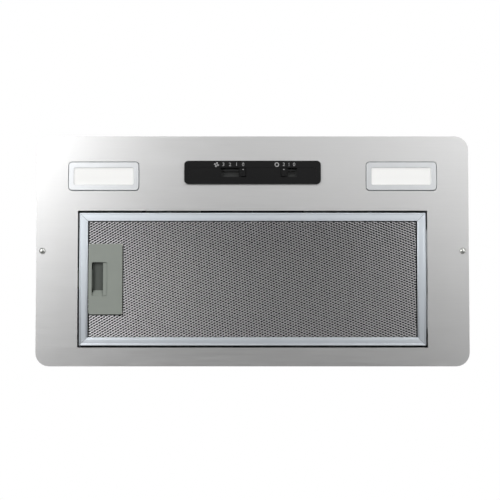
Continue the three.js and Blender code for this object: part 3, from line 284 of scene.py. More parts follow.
def moulded_plastic(name, dark, light, roughness, spark, ior=1.5, specular=0.5):
    """Plastic and rubber from a spark-eroded mould, or anything with a like skin, such as the dark sheet of
    painted shade: a fine even pebble, drawn at the given size, that breaks up the sheen, over faint cloudy
    tone from the melt."""
    material, tree, shader, place = blank_material(name, roughness)
    flow = add(tree, "ShaderNodeTexNoise", {"Vector": place, "Scale": per_metre(25), "Detail": 3.0})
    pebble = add(tree, "ShaderNodeTexNoise", {
        "Vector": place, "Scale": per_metre(spark), "Detail": 2.0, "Roughness": 0.6,
    })
    rough = {"To Min": roughness - 0.08, "To Max": roughness + 0.08}
    skin(tree, shader, flow, (dark, light), pebble, rough, (0.3, 0.04))
    shader.inputs["IOR"].default_value = ior
    shader.inputs["Specular IOR Level"].default_value = specular
    return material


def opal_acrylic():
    """Milky acrylic plate with a light-spreading back: white, smooth and faintly cloudy, and lifted a little
    by a faint glow of painted light."""
    material, tree, shader, place = blank_material("opal_acrylic", 0.28)
    cloud = add(tree, "ShaderNodeTexNoise", {"Vector": place, "Scale": per_metre(18), "Detail": 2.0})
    skin(tree, shader, cloud, ("#f2f2f0", "#f7f7f5"))
    shader.inputs["IOR"].default_value = 1.49
    # Painted light: a faint glow that whitens the lens and the LED chips that share this finish.
    shader.inputs["Emission Color"].default_value = linear("#ffffff")
    shader.inputs["Emission Strength"].default_value = 0.14
    return material


def copper_on_board(name, mask, copper, line):
    """Fibreglass board under solder mask: the tracks below show as slightly lighter lines."""
    material, tree, shader, place = blank_material(name, 0.4)
    tracks = add(tree, "ShaderNodeTexBrick", {
        "Vector": place, "Color1": linear(mask), "Color2": linear(mask), "Mortar": linear(copper),
        "Scale": per_metre(line * 4), "Mortar Size": 0.08, "Brick Width": 1.7, "Row Height": 0.5,
    })
    tree.links.new(tracks.outputs["Color"], shader.inputs["Base Color"])
    bump = add(tree, "ShaderNodeBump", {
        "Height": tracks.outputs["Fac"], "Strength": 0.3, "Distance": 0.05 * MM,
    })
    tree.links.new(bump.outputs[0], shader.inputs["Normal"])
    return material


def laminated_iron():
    """Electrical steel stamped in sheets of 0.5 mm, drawn as bands about 6 mm apart so that they
    show: one band takes 2 pi radians, and a wave texture makes 20 radians where its scale is 1."""
    material, tree, shader, place = blank_material("laminated_iron", 0.5, 1.0)
    edges = add(tree, "ShaderNodeTexWave", {
        "Vector": place, "Scale": per_metre(1.0) / 20, "Distortion": 0.4,
    }, bands_direction="X")
    skin(tree, shader, edges.outputs["Fac"], ("#544f4b", "#85807b"))
    return material


def screen_ink():
    """Pad-printed ink, thin enough that the black moulding dulls it unevenly."""
    material, tree, shader, place = blank_material("screen_ink", 0.55)
    wear = add(tree, "ShaderNodeTexNoise", {"Vector": place, "Scale": per_metre(0.7), "Detail": 2.0})
    skin(tree, shader, wear, ("#8c8c8c", "#b9b9b9"))
    return material


FINISH = {
    # Stainless sheet, belt-brushed along the fascia: a soft sheen that is streaked along X.
    "stainless": brushed_metal("brushed_stainless", "#c3c3c3", "#cbcbcb", 0.36, (45, 0.9), 0.08),
    # Steel sheet, galvanised before it was bent: a pale, dull patchwork of crystals.
    "galvanised": galvanised_steel(),
    # Aluminium channel, rolled and anodised: an even, cool satin without lines.
    "aluminium": satin_metal("anodised_aluminium", "#c8ced4", "#d0d6dc", 0.42, 30, 0.6),
    # Aluminium sheet, rolled, slit and stretched: each strand flashes on its tipped face.
    "mesh_aluminium": satin_metal("rolled_aluminium_net", "#838384", "#8e8e8f", 0.28, 5, 0.5),
    # Spring steel, hardened and blued: darker than the casing, with a tight shine.
    "spring_steel": satin_metal("blued_spring_steel", "#6d747c", "#8b929a", 0.32, 9, 0.5),
    # Bar and sheet steel, drawn: bright, with fine lines along the shaft.
    "steel": brushed_metal("drawn_steel", "#8f9396", "#a6aaad", 0.34, (9, 0.8), 0.15),
    # Zinc plate on screws, rivets and the capacitor: small, bright and slightly uneven.
    "zinc": satin_metal("zinc_plate", "#b3b5b2", "#c9cac6", 0.26, 4, 0.4),
    # Stacked laminations: fine grey-brown edges across the motor's axis.
    "motor_core": laminated_iron(),
    # Black ABS, moulded: deep black with a weak sheen.
    "black_plastic": moulded_plastic("black_abs", "#060607", "#0a0a0b", 0.34, 0.7, 1.48, 0.22),
    # Glass-filled polypropylene, moulded: charcoal, dull and faintly pebbled.
    "dark_plastic": moulded_plastic("glass_filled_polypropylene", "#2a2d31", "#363a3f", 0.5, 1.1),
    # Grey-green ABS, moulded: matt and even, calmer than the net round it.
    "grey_plastic": moulded_plastic("grey_green_abs", "#8d938c", "#969c94", 0.44, 0.8),
    # ABS with silver paint: a pale, blurred shine like metal.
    "silver_plastic": satin_metal("silver_painted_abs", "#c6c8ca", "#cfd1d3", 0.38, 12, 0.5),
    # Natural polyamide, moulded: warm white and waxy.
    "white_plastic": moulded_plastic("white_polyamide", "#e2e1dc", "#eceae5", 0.48, 0.9),
    # Opal acrylic, cast: white and smooth.
    "diffuser": opal_acrylic(),
    # Rubber, pressed: black with hardly any shine.
    "rubber": moulded_plastic("black_rubber", "#1c1d1e", "#262728", 0.78, 0.6),
    # Fibreglass boards under black and white mask: flat, with raised tracks.
    "circuit_board": copper_on_board("black_masked_board", "#101211", "#1b1e1c", 0.8),
    "white_board": copper_on_board("white_board", "#e4e6e4", "#d2d6d4", 1.2),
    # PVC sleeve, extruded: dark grey with a soft shine.
    "cable": moulded_plastic("pvc_sleeve", "#333538", "#42454a", 0.5, 0.9),
}
INK = screen_ink()
# Painted shade: a dark, matt sheet without shine behind the nets, which stands for the shade inside the hood,
# so the holes of the nets stay dark.
PAINTED_SHADE_SHEET = moulded_plastic("grey_needled_fleece", "#1f2021", "#2b2c2d", 0.9, 1.2)
# Acetal, moulded, with painted shade: a darker copy of the handle's grey-green, which stands for the shadow
# deep in the pocket and makes it look deep.
SLIDE_PLASTIC_PAINTED_SHADE = moulded_plastic("dark_grey_acetal", "#494e49", "#525751", 0.5, 0.9)
# Rolled aluminium painted nearly black: painted shade for the inner nets, which lie in shadow behind the net
# that shows, so its open holes read dark.
INNER_NET_PAINTED_SHADE = satin_metal("dark_rolled_aluminium", "#191a1b", "#1f2021", 0.65, 9, 0.5)


# ---- Making and finishing pieces ----
WELD = 0.004 * MM
FLAT = math.radians(0.4)  # faces turned by less than this are one flat face
CREASE = math.radians(32)  # edges turned by more than this stay sharp


def new_object(name, mesh):
    obj = bpy.data.objects.new(name, mesh)
    scene.collection.objects.link(obj)
    return obj


@contextmanager
def edited(mesh):
    """The mesh's corners and faces, which are written back to it at the end."""
    shape = bmesh.new()
    shape.from_mesh(mesh)
    yield shape
    shape.to_mesh(mesh)
    shape.free()


def tidy(mesh, poles=False):
    """Merges doubles and turns the faces out. At poles, the faces that have no area go too."""
    with edited(mesh) as shape:
        bmesh.ops.remove_doubles(shape, verts=shape.verts, dist=WELD)
        if poles:
            bmesh.ops.dissolve_degenerate(shape, edges=shape.edges, dist=WELD)
        bmesh.ops.recalc_face_normals(shape, faces=shape.faces)


def mesh_piece(name, points, faces, poles=False):
    """A piece from corners in metres and its faces."""
    mesh = bpy.data.meshes.new(name)
    mesh.from_pydata([tuple(p) for p in points], [], faces)
    tidy(mesh, poles)
    return new_object(name, mesh)


def flatten_shading(obj):
    """Keeps big faces flat to the light, and lets only the rounded edges between them turn."""
    shading = obj.modifiers.new("shading", "WEIGHTED_NORMAL")
    shading.weight = 100


def soften(obj, width, segments=2):
    """Rounds the piece's sharp edges, as moulding, bending or deburring leaves them."""
    bevel = obj.modifiers.new("edges", "BEVEL")
    bevel.width = width * MM
    bevel.segments = segments
    bevel.limit_method = "ANGLE"
    bevel.angle_limit = CREASE
    flatten_shading(obj)


def plain_mesh(obj):
    """The object's mesh with its modifiers applied and gone."""
    graph = bpy.context.evaluated_depsgraph_get()
    mesh = bpy.data.meshes.new_from_object(obj.evaluated_get(graph))
    obj.modifiers.clear()
    return mesh


def hang(obj, body, slot, *nodes, material=None, crease=CREASE):
    """Gives a finished piece its finish and smooth shading, and hangs it on its body."""
    obj.data.materials.clear()
    obj.data.materials.append(material or FINISH[slot])
    obj.data.shade_smooth()
    obj.data.set_sharp_from_angle(angle=crease)
    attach(obj, body)
    if nodes:
        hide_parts(*nodes)
    return obj


def refined(node, name, edge, segments=2, reshape=None):
    """The CAD node as a finished piece: its triangles joined, each flat face made one, and its edges
    rounded by the given millimetres. Reshape takes each corner's place in millimetres and gives the
    one that the finished piece has."""
    mesh = frame["nodes"][node].data.copy()
    with edited(mesh) as shape:
        bmesh.ops.remove_doubles(shape, verts=shape.verts, dist=WELD)
        bmesh.ops.dissolve_limit(shape, angle_limit=FLAT, verts=shape.verts, edges=shape.edges)
    obj = new_object(name, mesh)
    if reshape:
        for corner in obj.data.vertices:
            corner.co = mm(*reshape(*(corner.co / MM)))
    soften(obj, edge, segments)
    return hang(obj, BODY[node], SLOT[node], node)


def revolved(name, profile, at, axis="Z", sides=64):
    """A turned piece: profile is radius and height in millimetres, from pole to pole or closed."""
    points = []
    faces = []
    count = len(profile)
    spans = count - 1 if profile[0][0] == 0 else count
    for i in range(sides):
        turn = 2 * math.pi * i / sides
        here, there = i * count, (i + 1) % sides * count
        for r, h in profile:
            u, v = r * math.cos(turn), r * math.sin(turn)
            points.append((mm(u, v, h) if axis == "Z" else mm(h, u, v)) + Vector(at))
        for k in range(spans):
            faces.append((here + k, there + k, there + (k + 1) % count, here + (k + 1) % count))
    return mesh_piece(name, points, faces, poles=True)


def arc(u, v, radius, start, end, steps=4):
    """Points on an arc, in degrees, for an outline in millimetres."""
    turns = [math.radians(start + (end - start) * i / steps) for i in range(steps + 1)]
    return [(u + radius * math.cos(t), v + radius * math.sin(t)) for t in turns]


def rounded_outline(width, length, radius, steps=6):
    """The corners of a rounded rectangle about the origin, in millimetres."""
    u, v = width / 2 - radius, length / 2 - radius
    return (arc(u, -v, radius, -90, 0, steps) + arc(u, v, radius, 0, 90, steps)
            + arc(-u, v, radius, 90, 180, steps) + arc(-u, -v, radius, 180, 270, steps))


def rectangle(left, right, front, rear):
    return [(left, front), (right, front), (right, rear), (left, rear)]


def prism_faces(count):
    """The faces between two outlines of that many corners, and over both."""
    sides = [(i, (i + 1) % count, (i + 1) % count + count, i + count) for i in range(count)]
    return sides + [tuple(range(count)), tuple(range(count, 2 * count))]


def plate(name, outline, low, high, at=(0, 0, 0)):
    """A flat piece: an outline in millimetres between two heights, about a point in metres."""
    points = [mm(u, v, z) + Vector(at) for z in (low, high) for u, v in outline]
    return mesh_piece(name, points, prism_faces(len(outline)))


def tube(name, points, radius, smooth=True, sides=4):
    """A round wire or lead through points in millimetres, with closed ends."""
    curve = bpy.data.curves.new(name, "CURVE")
    curve.dimensions = "3D"
    curve.bevel_depth = radius * MM
    curve.bevel_resolution = sides
    curve.use_fill_caps = True
    curve.resolution_u = 10
    line = curve.splines.new("BEZIER" if smooth else "POLY")
    knots = line.bezier_points if smooth else line.points
    knots.add(len(points) - 1)
    for knot, point in zip(knots, points):
        if smooth:
            knot.co = mm(*point)
            knot.handle_left_type = knot.handle_right_type = "AUTO"
        else:
            knot.co = (*mm(*point), 1)
    return made_mesh(curve)


def made_mesh(curve, place=Matrix()):
    """A curve or text as a closed mesh piece, moved by the given matrix."""
    holder = new_object(curve.name, curve)
    mesh = plain_mesh(holder)
    bpy.data.objects.remove(holder)
    mesh.transform(place)
    tidy(mesh)
    return new_object(curve.name, mesh)


def joined(name, objects):
    """Several objects as one piece."""
    mesh = bpy.data.meshes.new(name)
    with edited(mesh) as shape:
        for obj in objects:
            shape.from_mesh(obj.data)
            bpy.data.objects.remove(obj)
    return new_object(name, mesh)


# ---- Geometry Nodes: nets, and rows and wheels of copies ----
def new_tree(name, inputs):
    tree = bpy.data.node_groups.new(name, "GeometryNodeTree")
    tree.interface.new_socket("Geometry", in_out="OUTPUT", socket_type="NodeSocketGeometry")
    for label, kind in inputs.items():
        tree.interface.new_socket(label, in_out="INPUT", socket_type="NodeSocket" + kind)
    return tree, add(tree, "NodeGroupInput").outputs


def real_copies(tree, shape, points, turn):
    """The shape on every point, turned, as plain geometry."""
    source = add(tree, "GeometryNodeObjectInfo", {"Object": shape}).outputs["Geometry"]
    placed = add(tree, "GeometryNodeInstanceOnPoints", {
        "Points": points, "Instance": source, "Rotation": turn,
    })
    return add(tree, "GeometryNodeRealizeInstances", {0: placed})


def give_result(tree, geometry, finish):
    finished = add(tree, "GeometryNodeSetMaterial", {"Geometry": geometry, "Material": finish})
    add(tree, "NodeGroupOutput", {0: finished})
    return tree


def grown(name, tree, values):
    """Runs a tree with the given named values and returns its result as a plain object."""
    holder = new_object(name + "_seed", bpy.data.meshes.new(name + "_seed"))
    modifier = holder.modifiers.new("grow", "NODES")
    modifier.node_group = tree
    sockets = {item.name: item.identifier for item in tree.interface.items_tree
               if item.in_out == "INPUT"}
    for label, value in values.items():
        modifier[sockets[label]] = value
    mesh = plain_mesh(holder)
    bpy.data.objects.remove(holder)
    mesh.name = name
    return new_object(name, mesh)


def net_tree():
    """Expanded sheet: one knot for each joint of the strands, in a staggered, turned lattice that
    is kept inside a rectangle, and may be folded into pleats along X."""
    tree, given = new_tree("expanded_sheet", {
        "Knot": "Object", "Long": "Float", "Short": "Float", "Tilt": "Float", "Half Size": "Vector",
        "Centre": "Vector", "Fold Height": "Float", "Fold Pitch": "Float", "Weld": "Float",
        "Finish": "Material",
    })
    span = add(tree, "ShaderNodeVectorMath", {0: given["Half Size"]}, operation="LENGTH").outputs["Value"]
    counts = []
    sizes = []
    for pitch in (given["Long"], given["Short"]):
        cells = add(tree, "ShaderNodeMath", {0: span, 1: pitch}, operation="DIVIDE")
        whole = add(tree, "ShaderNodeMath", {0: cells}, operation="CEIL")
        both = add(tree, "ShaderNodeMath", {0: whole, 1: 2.0, 2: 1.0}, operation="MULTIPLY_ADD")
        less = add(tree, "ShaderNodeMath", {0: both, 1: 1.0}, operation="SUBTRACT")
        sizes.append(add(tree, "ShaderNodeMath", {0: less, 1: pitch}, operation="MULTIPLY"))
        counts.append(both)
    grid = add(tree, "GeometryNodeMeshGrid", {
        "Size X": sizes[0], "Size Y": sizes[1], "Vertices X": counts[0], "Vertices Y": counts[1],
    })
    step = add(tree, "ShaderNodeCombineXYZ", {"X": given["Long"], "Y": given["Short"]})
    half_step = add(tree, "ShaderNodeVectorMath", {0: step, "Scale": 0.5}, operation="SCALE")
    between = add(tree, "GeometryNodeTransform", {"Geometry": grid, "Translation": half_step})
    lattice = add(tree, "GeometryNodeJoinGeometry")
    tree.links.new(grid.outputs[0], lattice.inputs[0])
    tree.links.new(between.outputs[0], lattice.inputs[0])
    turn = add(tree, "ShaderNodeCombineXYZ", {"Z": given["Tilt"]})
    placed = add(tree, "GeometryNodeTransform", {
        "Geometry": lattice, "Translation": given["Centre"], "Rotation": turn,
    })
    spot = add(tree, "GeometryNodeInputPosition")
    offset = add(tree, "ShaderNodeVectorMath", {0: spot, 1: given["Centre"]}, operation="SUBTRACT")
    reach = add(tree, "ShaderNodeVectorMath", {0: offset}, operation="ABSOLUTE")
    past = add(tree, "ShaderNodeVectorMath", {0: reach, 1: given["Half Size"]}, operation="SUBTRACT")
    sides = add(tree, "ShaderNodeSeparateXYZ", {0: past}).outputs
    furthest = add(tree, "ShaderNodeMath", {0: sides["X"], 1: sides["Y"]}, operation="MAXIMUM")
    outside = add(tree, "FunctionNodeCompare", {"A": furthest, "B": 0.0}, operation="GREATER_THAN")
    kept = add(tree, "GeometryNodeDeleteGeometry", {"Geometry": placed, "Selection": outside})
    sheet = real_copies(tree, given["Knot"], kept, turn)
    welded = add(tree, "GeometryNodeMergeByDistance", {"Geometry": sheet, "Distance": given["Weld"]})
    run = add(tree, "ShaderNodeSeparateXYZ", {0: spot}).outputs["X"]
    half_fold = add(tree, "ShaderNodeMath", {0: given["Fold Pitch"], 1: 0.5}, operation="MULTIPLY")
    wave = add(tree, "ShaderNodeMath", {0: run, 1: half_fold}, operation="PINGPONG")
    share = add(tree, "ShaderNodeMath", {0: wave, 1: half_fold}, operation="DIVIDE")
    lift = add(tree, "ShaderNodeMath", {0: share, 1: given["Fold Height"]}, operation="MULTIPLY")
    raised = add(tree, "ShaderNodeCombineXYZ", {"Z": lift})
    folded = add(tree, "GeometryNodeSetPosition", {"Geometry": welded, "Offset": raised})
    return give_result(tree, folded, given["Finish"])


def copies_tree():
    """Copies of one shape along a line, each turned a step further round an axis than the last."""
    tree, given = new_tree("copies", {
        "Shape": "Object", "Count": "Int", "Start": "Vector", "Step": "Vector", "Axis": "Vector",
        "Turn": "Float", "Finish": "Material",
    })
    line = add(tree, "GeometryNodeMeshLine", {
        "Count": given["Count"], "Start Location": given["Start"], "Offset": given["Step"],
    }, mode="OFFSET")
    number = add(tree, "GeometryNodeInputIndex")
    angle = add(tree, "ShaderNodeMath", {0: number, 1: given["Turn"]}, operation="MULTIPLY")
    turn = add(tree, "FunctionNodeAxisAngleToRotation", {"Axis": given["Axis"], "Angle": angle})
    return give_result(tree, real_copies(tree, given["Shape"], line, turn), given["Finish"])


NET, COPIES = net_tree(), copies_tree()


def rows(name, shape, count, starts, finish, step=(0.0, 0.0, 0.0), axis=(0.0, 0.0, 1.0), turn=0.0):
    """A row of copies of a shape from each start. The shape itself goes."""
    made = [grown(name, COPIES, {
        "Shape": shape, "Count": count, "Start": start, "Step": step, "Axis": axis, "Turn": turn,
        "Finish": finish,
    }) for start in starts]
    bpy.data.objects.remove(shape)
    return made


def wheel(name, shape, count, centre, axis, finish):
    """Copies of a shape, made where the first one stands, spread round an axis."""
    return rows(name, shape, count, [centre], finish, axis=axis, turn=2 * math.pi / count)[0]


# ---- Filter: frame rails, three layers of net, handle and latch. Sizes are in millimetres ----
SIDE_FACE, END_FACE = 11.2, 10.7  # widths of the rails' faces
MITRE_GAP = 0.15 * math.sqrt(2)
RAIL_CREASE = math.radians(40)


def rail_profile(face, low, high):
    """Rolled channel that opens inwards: u from the filter's edge, and height. The face has a
    rolled lip at each edge and a shallow groove a quarter of the way in."""
    wall, back, draft, roll, lip, back_roll, edge_roll = 1.0, 8.0, 0.3, 0.6, 0.62, 0.4, 0.5
    groove = ((2.55, 0), (2.8, 0.1), (3.0, 0.1), (3.25, 0))  # from the edge, and how deep
    step = ((-2.6, 0), (-2.3, 0.07), (-1.7, 0.07))  # from the face's inner edge, and how deep
    return [
        *arc(draft + roll, low + roll, roll, 180, 270),
        *((u, low + depth) for u, depth in groove),
        *((face + u, low + depth) for u, depth in step),
        *arc(face - lip, low + lip, lip, 250, 360),
        (face, low + wall), (wall, low + wall), (wall, high - wall), (back, high - wall),
        *arc(back - back_roll, high - back_roll, back_roll, 0, 90, 2),
        *arc(edge_roll, high - edge_roll, edge_roll, 90, 180, 2),
    ]


def filter_rails():
    """Four lengths of the rolled channel, cut at 45 degrees where they meet."""
    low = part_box("filter_rail_left")[0] / MM
    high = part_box("filter_rail_right")[1] / MM
    edges = {
        # side: its outer edge, the way in, whether it runs along X, and its two ends
        "left": (low.x, 1, False, low.y, high.y), "right": (high.x, -1, False, low.y, high.y),
        "front": (low.y, 1, True, low.x, high.x), "rear": (high.y, -1, True, low.x, high.x),
    }
    for side, (edge, inward, along, start, end) in edges.items():
        node = f"filter_rail_{side}"
        profile = rail_profile(END_FACE if along else SIDE_FACE, low.z, high.z)
        points = []
        for tip, way in ((start, 1), (end, -1)):
            for u, z in profile:
                run = tip + way * (u + MITRE_GAP)
                across = edge + inward * u
                points.append(mm(run, across, z) if along else mm(across, run, z))
        obj = mesh_piece(f"filter_frame_{side}", points, prism_faces(len(profile)))
        if side == "left":
            cut_bolt_slot(obj, node)
        flatten_shading(obj)
        hang(obj, BODY[node], SLOT[node], node, crease=RAIL_CREASE)


def cut_bolt_slot(obj, node):
    """The slot in the rail's outer wall that the latch bolt passes through."""
    low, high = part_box("latch_slide")
    through, length, half_height, corner = 2.0, 24.6, 1.1, 0.3
    middle = (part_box(node)[0].x + 0.4 * MM, (low.y + high.y) / 2, low.z + 0.8 * MM)
    outline = rounded_outline(through, length, corner, 2)
    cutter = plate("bolt_slot", outline, -half_height, half_height, middle)
    cut = obj.modifiers.new("slot", "BOOLEAN")
    cut.object = cutter
    cut.solver = "EXACT"
    obj.data = plain_mesh(obj)
    bpy.data.objects.remove(cutter)


NETS = {
    # node: long and short pitch, strand width and height, lift of its face, tilt, fold height
    "filter_mesh_lower": (6.56, 3.29, 0.9, 0.8, 0.31, -5.0, 0.0),
    "filter_pleats": (12.0, 6.0, 2.0, 0.5, 0.2, 4.0, 3.5),
    "filter_mesh_upper": (12.0, 6.0, 2.0, 0.8, 0.2, -4.0, 0.0),
}
FOLD_PITCH = 16.0
NET_WELD = 0.02
NET_CREASE = math.radians(25)
SIDE_MARGIN, FRONT_MARGIN = 1.5, 1.0  # dark line between the lower net and the rails' faces
HANDLE_WALL = 1.7  # the nets reach this far under the handle's body
SHADOW_GAP = (1.1, 1.3)  # dark line between the lower net and the handle, right and rear
SHADE_SHEET_LAYER = (-0.26, -0.06)  # below the upper net


def net_knot(long, short, strand, height, lift):
    """Where four strands of expanded sheet meet: four half strands, each a bar whose broad face is
    tipped towards the front by the lift, as slitting and stretching leaves it."""
    run = Vector((long / 2, short / 2)).normalized()
    half = strand / 2
    tips = [(long / 4, short / 4), (-long / 4, short / 4), (-long / 4, -short / 4), (long / 4, -short / 4)]
    points = [
        (half / run.y, 0, lift / 2 - height), (0, half / run.x, -height),
        (-half / run.y, 0, lift / 2 - height), (0, -half / run.x, lift - height), (0, 0, 0),
    ]
    back = len(points) - 1
    faces = [(0, 1, 2, 3)]
    for i, (u, v) in enumerate(tips):
        side = Vector((-v, u)).normalized() * half
        first = len(points)
        for sign in (-1, 1):
            rear = sign * side.y > 0
            points.append((u + sign * side.x, v + sign * side.y, -height if rear else lift - height))
        points.append((u, v, 0))
        before, after = i, (i + 1) % 4
        faces += [
            (before, after, first + 1, first), (before, first, first + 2, back),
            (after, back, first + 2, first + 1),
        ]
    return mesh_piece("net_knot", [mm(*p) for p in points], faces)


def cut_window(obj, low, high):
    """Cuts a rectangle out of a net and closes the ends of the strands that it cuts."""
    reach = 6 * MM  # further than a strand's facets go

    def inside(face, margin):
        spot = face.calc_center_median()
        return (low.x - margin < spot.x < high.x + margin
                and low.y - margin < spot.y < high.y + margin)

    with edited(obj.data) as shape:
        for axis in (0, 1):
            for edge in (low[axis], high[axis]):
                near = [f for f in shape.faces if inside(f, reach)]
                edges = {e for f in near for e in f.edges}
                corners = {v for f in near for v in f.verts}
                spot, normal = Vector((0, 0, 0)), Vector((0, 0, 0))
                spot[axis] = edge
                normal[axis] = 1
                bmesh.ops.bisect_plane(
                    shape, geom=near + list(edges) + list(corners), dist=1e-7, plane_co=spot, plane_no=normal,
                )
        bmesh.ops.delete(shape, geom=[f for f in shape.faces if inside(f, 0)], context="FACES")
        bmesh.ops.holes_fill(shape, edges=[e for e in shape.edges if e.is_boundary], sides=0)
        bmesh.ops.recalc_face_normals(shape, faces=shape.faces)


def margins(low, high):
    """The strips at the left, right and front of the lower net, where it stops short of the rails."""
    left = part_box("filter_rail_left")[0].x + (SIDE_FACE + SIDE_MARGIN) * MM
    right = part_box("filter_rail_right")[1].x - (SIDE_FACE + SIDE_MARGIN) * MM
    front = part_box("filter_rail_front")[0].y + (END_FACE + FRONT_MARGIN) * MM
    past = 5 * MM
    start, end = low - Vector((past, past, 0)), high + Vector((past, past, 0))
    return [
        (start, Vector((left, end.y, 0))), (Vector((right, start.y, 0)), end),
        (start, Vector((end.x, front, 0))),
    ]


def filter_nets():
    """The net that shows, the pleated one above it, and the coarse one that holds both. The lower
    net is cut round the handle as it shows, and the others round the handle's body."""
    body_low, body_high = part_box("handle_housing")
    wall = mm(HANDLE_WALL, HANDLE_WALL, 0)
    body = body_low + wall, body_high - wall
    for node, (long, short, strand, height, lift, tilt, fold) in NETS.items():
        low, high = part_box(node)
        half = (high - low) / 2
        knot = net_knot(long, short, strand, height, lift)
        net = grown(f"{node}_expanded", NET, {
            "Knot": knot, "Long": long * MM, "Short": short * MM, "Tilt": math.radians(tilt),
            "Half Size": (half.x - long / 4 * MM, half.y - short / 4 * MM, 0.0),
            "Centre": ((low.x + high.x) / 2, (low.y + high.y) / 2, low.z + height * MM),
            "Fold Height": fold * MM, "Fold Pitch": FOLD_PITCH * MM, "Weld": NET_WELD * MM,
            "Finish": FINISH["mesh_aluminium"],
        })
        bpy.data.objects.remove(knot)
        shown = node == "filter_mesh_lower"
        windows = [(body[0], body_high + mm(*SHADOW_GAP, 0)), *margins(low, high)] if shown else [body]
        for window in windows:
            cut_window(net, *window)
        # Painted shade: the inner nets take the nearly black finish that stands for the shadow they lie in.
        skin_of_net = None if shown else INNER_NET_PAINTED_SHADE
        hang(net, BODY[node], SLOT[node], node, material=skin_of_net, crease=NET_CREASE)
    fleece(*body)


def fleece(body_low, body_high):
    """A thin dark sheet of painted shade just under the upper net, round three sides of the handle's body."""
    low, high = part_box("filter_mesh_upper")
    left, right, front, rear = low.x / MM, high.x / MM, low.y / MM, high.y / MM
    inner = body_high.x / MM
    parts = [
        rectangle(inner, right, front, rear), rectangle(left, inner, front, body_low.y / MM),
        rectangle(left, inner, body_high.y / MM, rear),
    ]
    layer = joined("filter_fleece", [plate("fleece", part, *SHADE_SHEET_LAYER, (0, 0, low.z)) for part in parts])
    hang(layer, BODY["filter_pleats"], None, material=PAINTED_SHADE_SHEET)


# The pocket in the handle, its mouth and the chamber behind it, as the CAD has them, and how much
# wider and longer the finished ones are.
POCKET = {"left": -200.2, "middle": -192.0, "right": -183.8, "front": 13.1, "rear": 54.7}
CHAMBER = {"left": -206.2, "end": -177.4, "top": 4.8}
WIDER = {"left": 2.2, "right": 1.0, "front": 1.1, "rear": 2.3, "chamber": 2.9}
MOUTH_TOP = -1.9
CORNER = 2.1  # how far the mouth's rounded corners reach
SLACK = 0.1  # a corner this near to an edge lies on it
# The slide's plate and the ends of its finger wall, as the CAD has them, and how the ends move.
SLIDE = {"plate": 2.9, "front": 13.7, "middle": 35.5, "rear": 54.1}
SHIFT = {"front": 1.2, "rear": 2.3}
DEEP_PLATE = 3.9


def handle_pocket(x, y, z):
    """The pocket's mouth as it looks: a little wider and longer, over a longer chamber."""
    in_mouth = z < MOUTH_TOP
    beside = POCKET["front"] - SLACK < y < POCKET["rear"] + SLACK
    if POCKET["left"] - SLACK < x < POCKET["middle"] and beside:
        x -= WIDER["left"] * in_mouth
    elif POCKET["middle"] < x < POCKET["right"] + SLACK and in_mouth:
        x += WIDER["right"]
    elif abs(x - CHAMBER["end"]) < SLACK:
        x += WIDER["chamber"]
    at_rear = POCKET["rear"] - CORNER < y < POCKET["rear"] + SLACK
    at_front = POCKET["front"] - SLACK < y < POCKET["front"] + CORNER
    if z < CHAMBER["top"] and CHAMBER["left"] < x < CHAMBER["end"] + WIDER["chamber"] + SLACK and at_rear:
        y += WIDER["rear"]
    elif in_mouth and CHAMBER["left"] < x < CHAMBER["end"] and at_front:
        y += WIDER["front"]
    return x, y, z


def finger_slide(x, y, z):
    """The slide with its floor spread over the whole pocket, as deep as the housing allows."""
    if abs(y - SLIDE["front"]) < SLACK:
        y += SHIFT["front"]
    elif abs(y - SLIDE["rear"]) < SLACK:
        y += SHIFT["rear"]
    elif z > SLIDE["plate"] - SLACK:
        end = "front" if y < SLIDE["middle"] else "rear"
        y = SLIDE[end] + SHIFT[end]
        if z < SLIDE["plate"] + SLACK:
            z = DEEP_PLATE
    return x, y, z


def handle_and_latch():
    refined("handle_housing", "handle_shell", 0.9, 3, handle_pocket)
    bolt = refined("latch_slide", "latch_bolt", 0.2, 2, finger_slide)
    # Painted shade: the slide's darker plastic stands for the shadow in the handle's pocket.
    bolt.data.materials[0] = SLIDE_PLASTIC_PAINTED_SHADE
    sides = rectangle(-188.3, -182.3, SLIDE["front"] + SHIFT["front"], SLIDE["rear"] + SHIFT["rear"])
    ledge = plate("finger_ledge", sides, -1.9, -1.1)
    soften(ledge, 0.25)
    hang(ledge, BODY["latch_slide"], SLOT["latch_slide"])
    section = [(57.0, -2.6), (57.0, 3.4), (49.5, 3.4)]
    points = [mm(x, y, z) for x in (-202.9, -188.6) for y, z in section]
    ramp = mesh_piece("pocket_ramp", points, prism_faces(len(section)))
    hang(ramp, BODY["handle_housing"], SLOT["handle_housing"])
    # Painted highlight: thin white strips along the handle's front and right edges stand for the light that
    # its rounded edges catch.
    strips = [
        plate("front_edge", rectangle(-206.2, -164.1, -8.9, -8.0), -3.59, -2.7),
        plate("right_edge", rectangle(-164.4, -163.8, -8.6, 79.4), -3.5, -2.7),
    ]
    hang(joined("handle_edge", strips), BODY["handle_housing"], None, material=FINISH["white_plastic"])
    refined("hinge_plate", "hinge_tongues", 0.15)
    latch_spring()


def latch_spring():
    """A coil of round wire that the slide squashes against the housing."""
    low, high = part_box("latch_spring")
    wire, radius, turns, steps = 0.4, 2.3, 4, 20
    coil = radius - wire
    count = turns * steps
    middle = (low + high) / 2 / MM
    length = (high.x - low.x) / MM - 2 * wire
    points = []
    for i in range(count + 1):
        turn = 2 * math.pi * i / steps
        run = low.x / MM + wire + length * i / count
        points.append((run, middle.y + coil * math.cos(turn), middle.z + coil * math.sin(turn)))
    spring = tube("latch_coil", points, wire, smooth=False, sides=2)
    hang(spring, BODY["latch_spring"], "spring_steel", "latch_spring")
    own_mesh(spring)


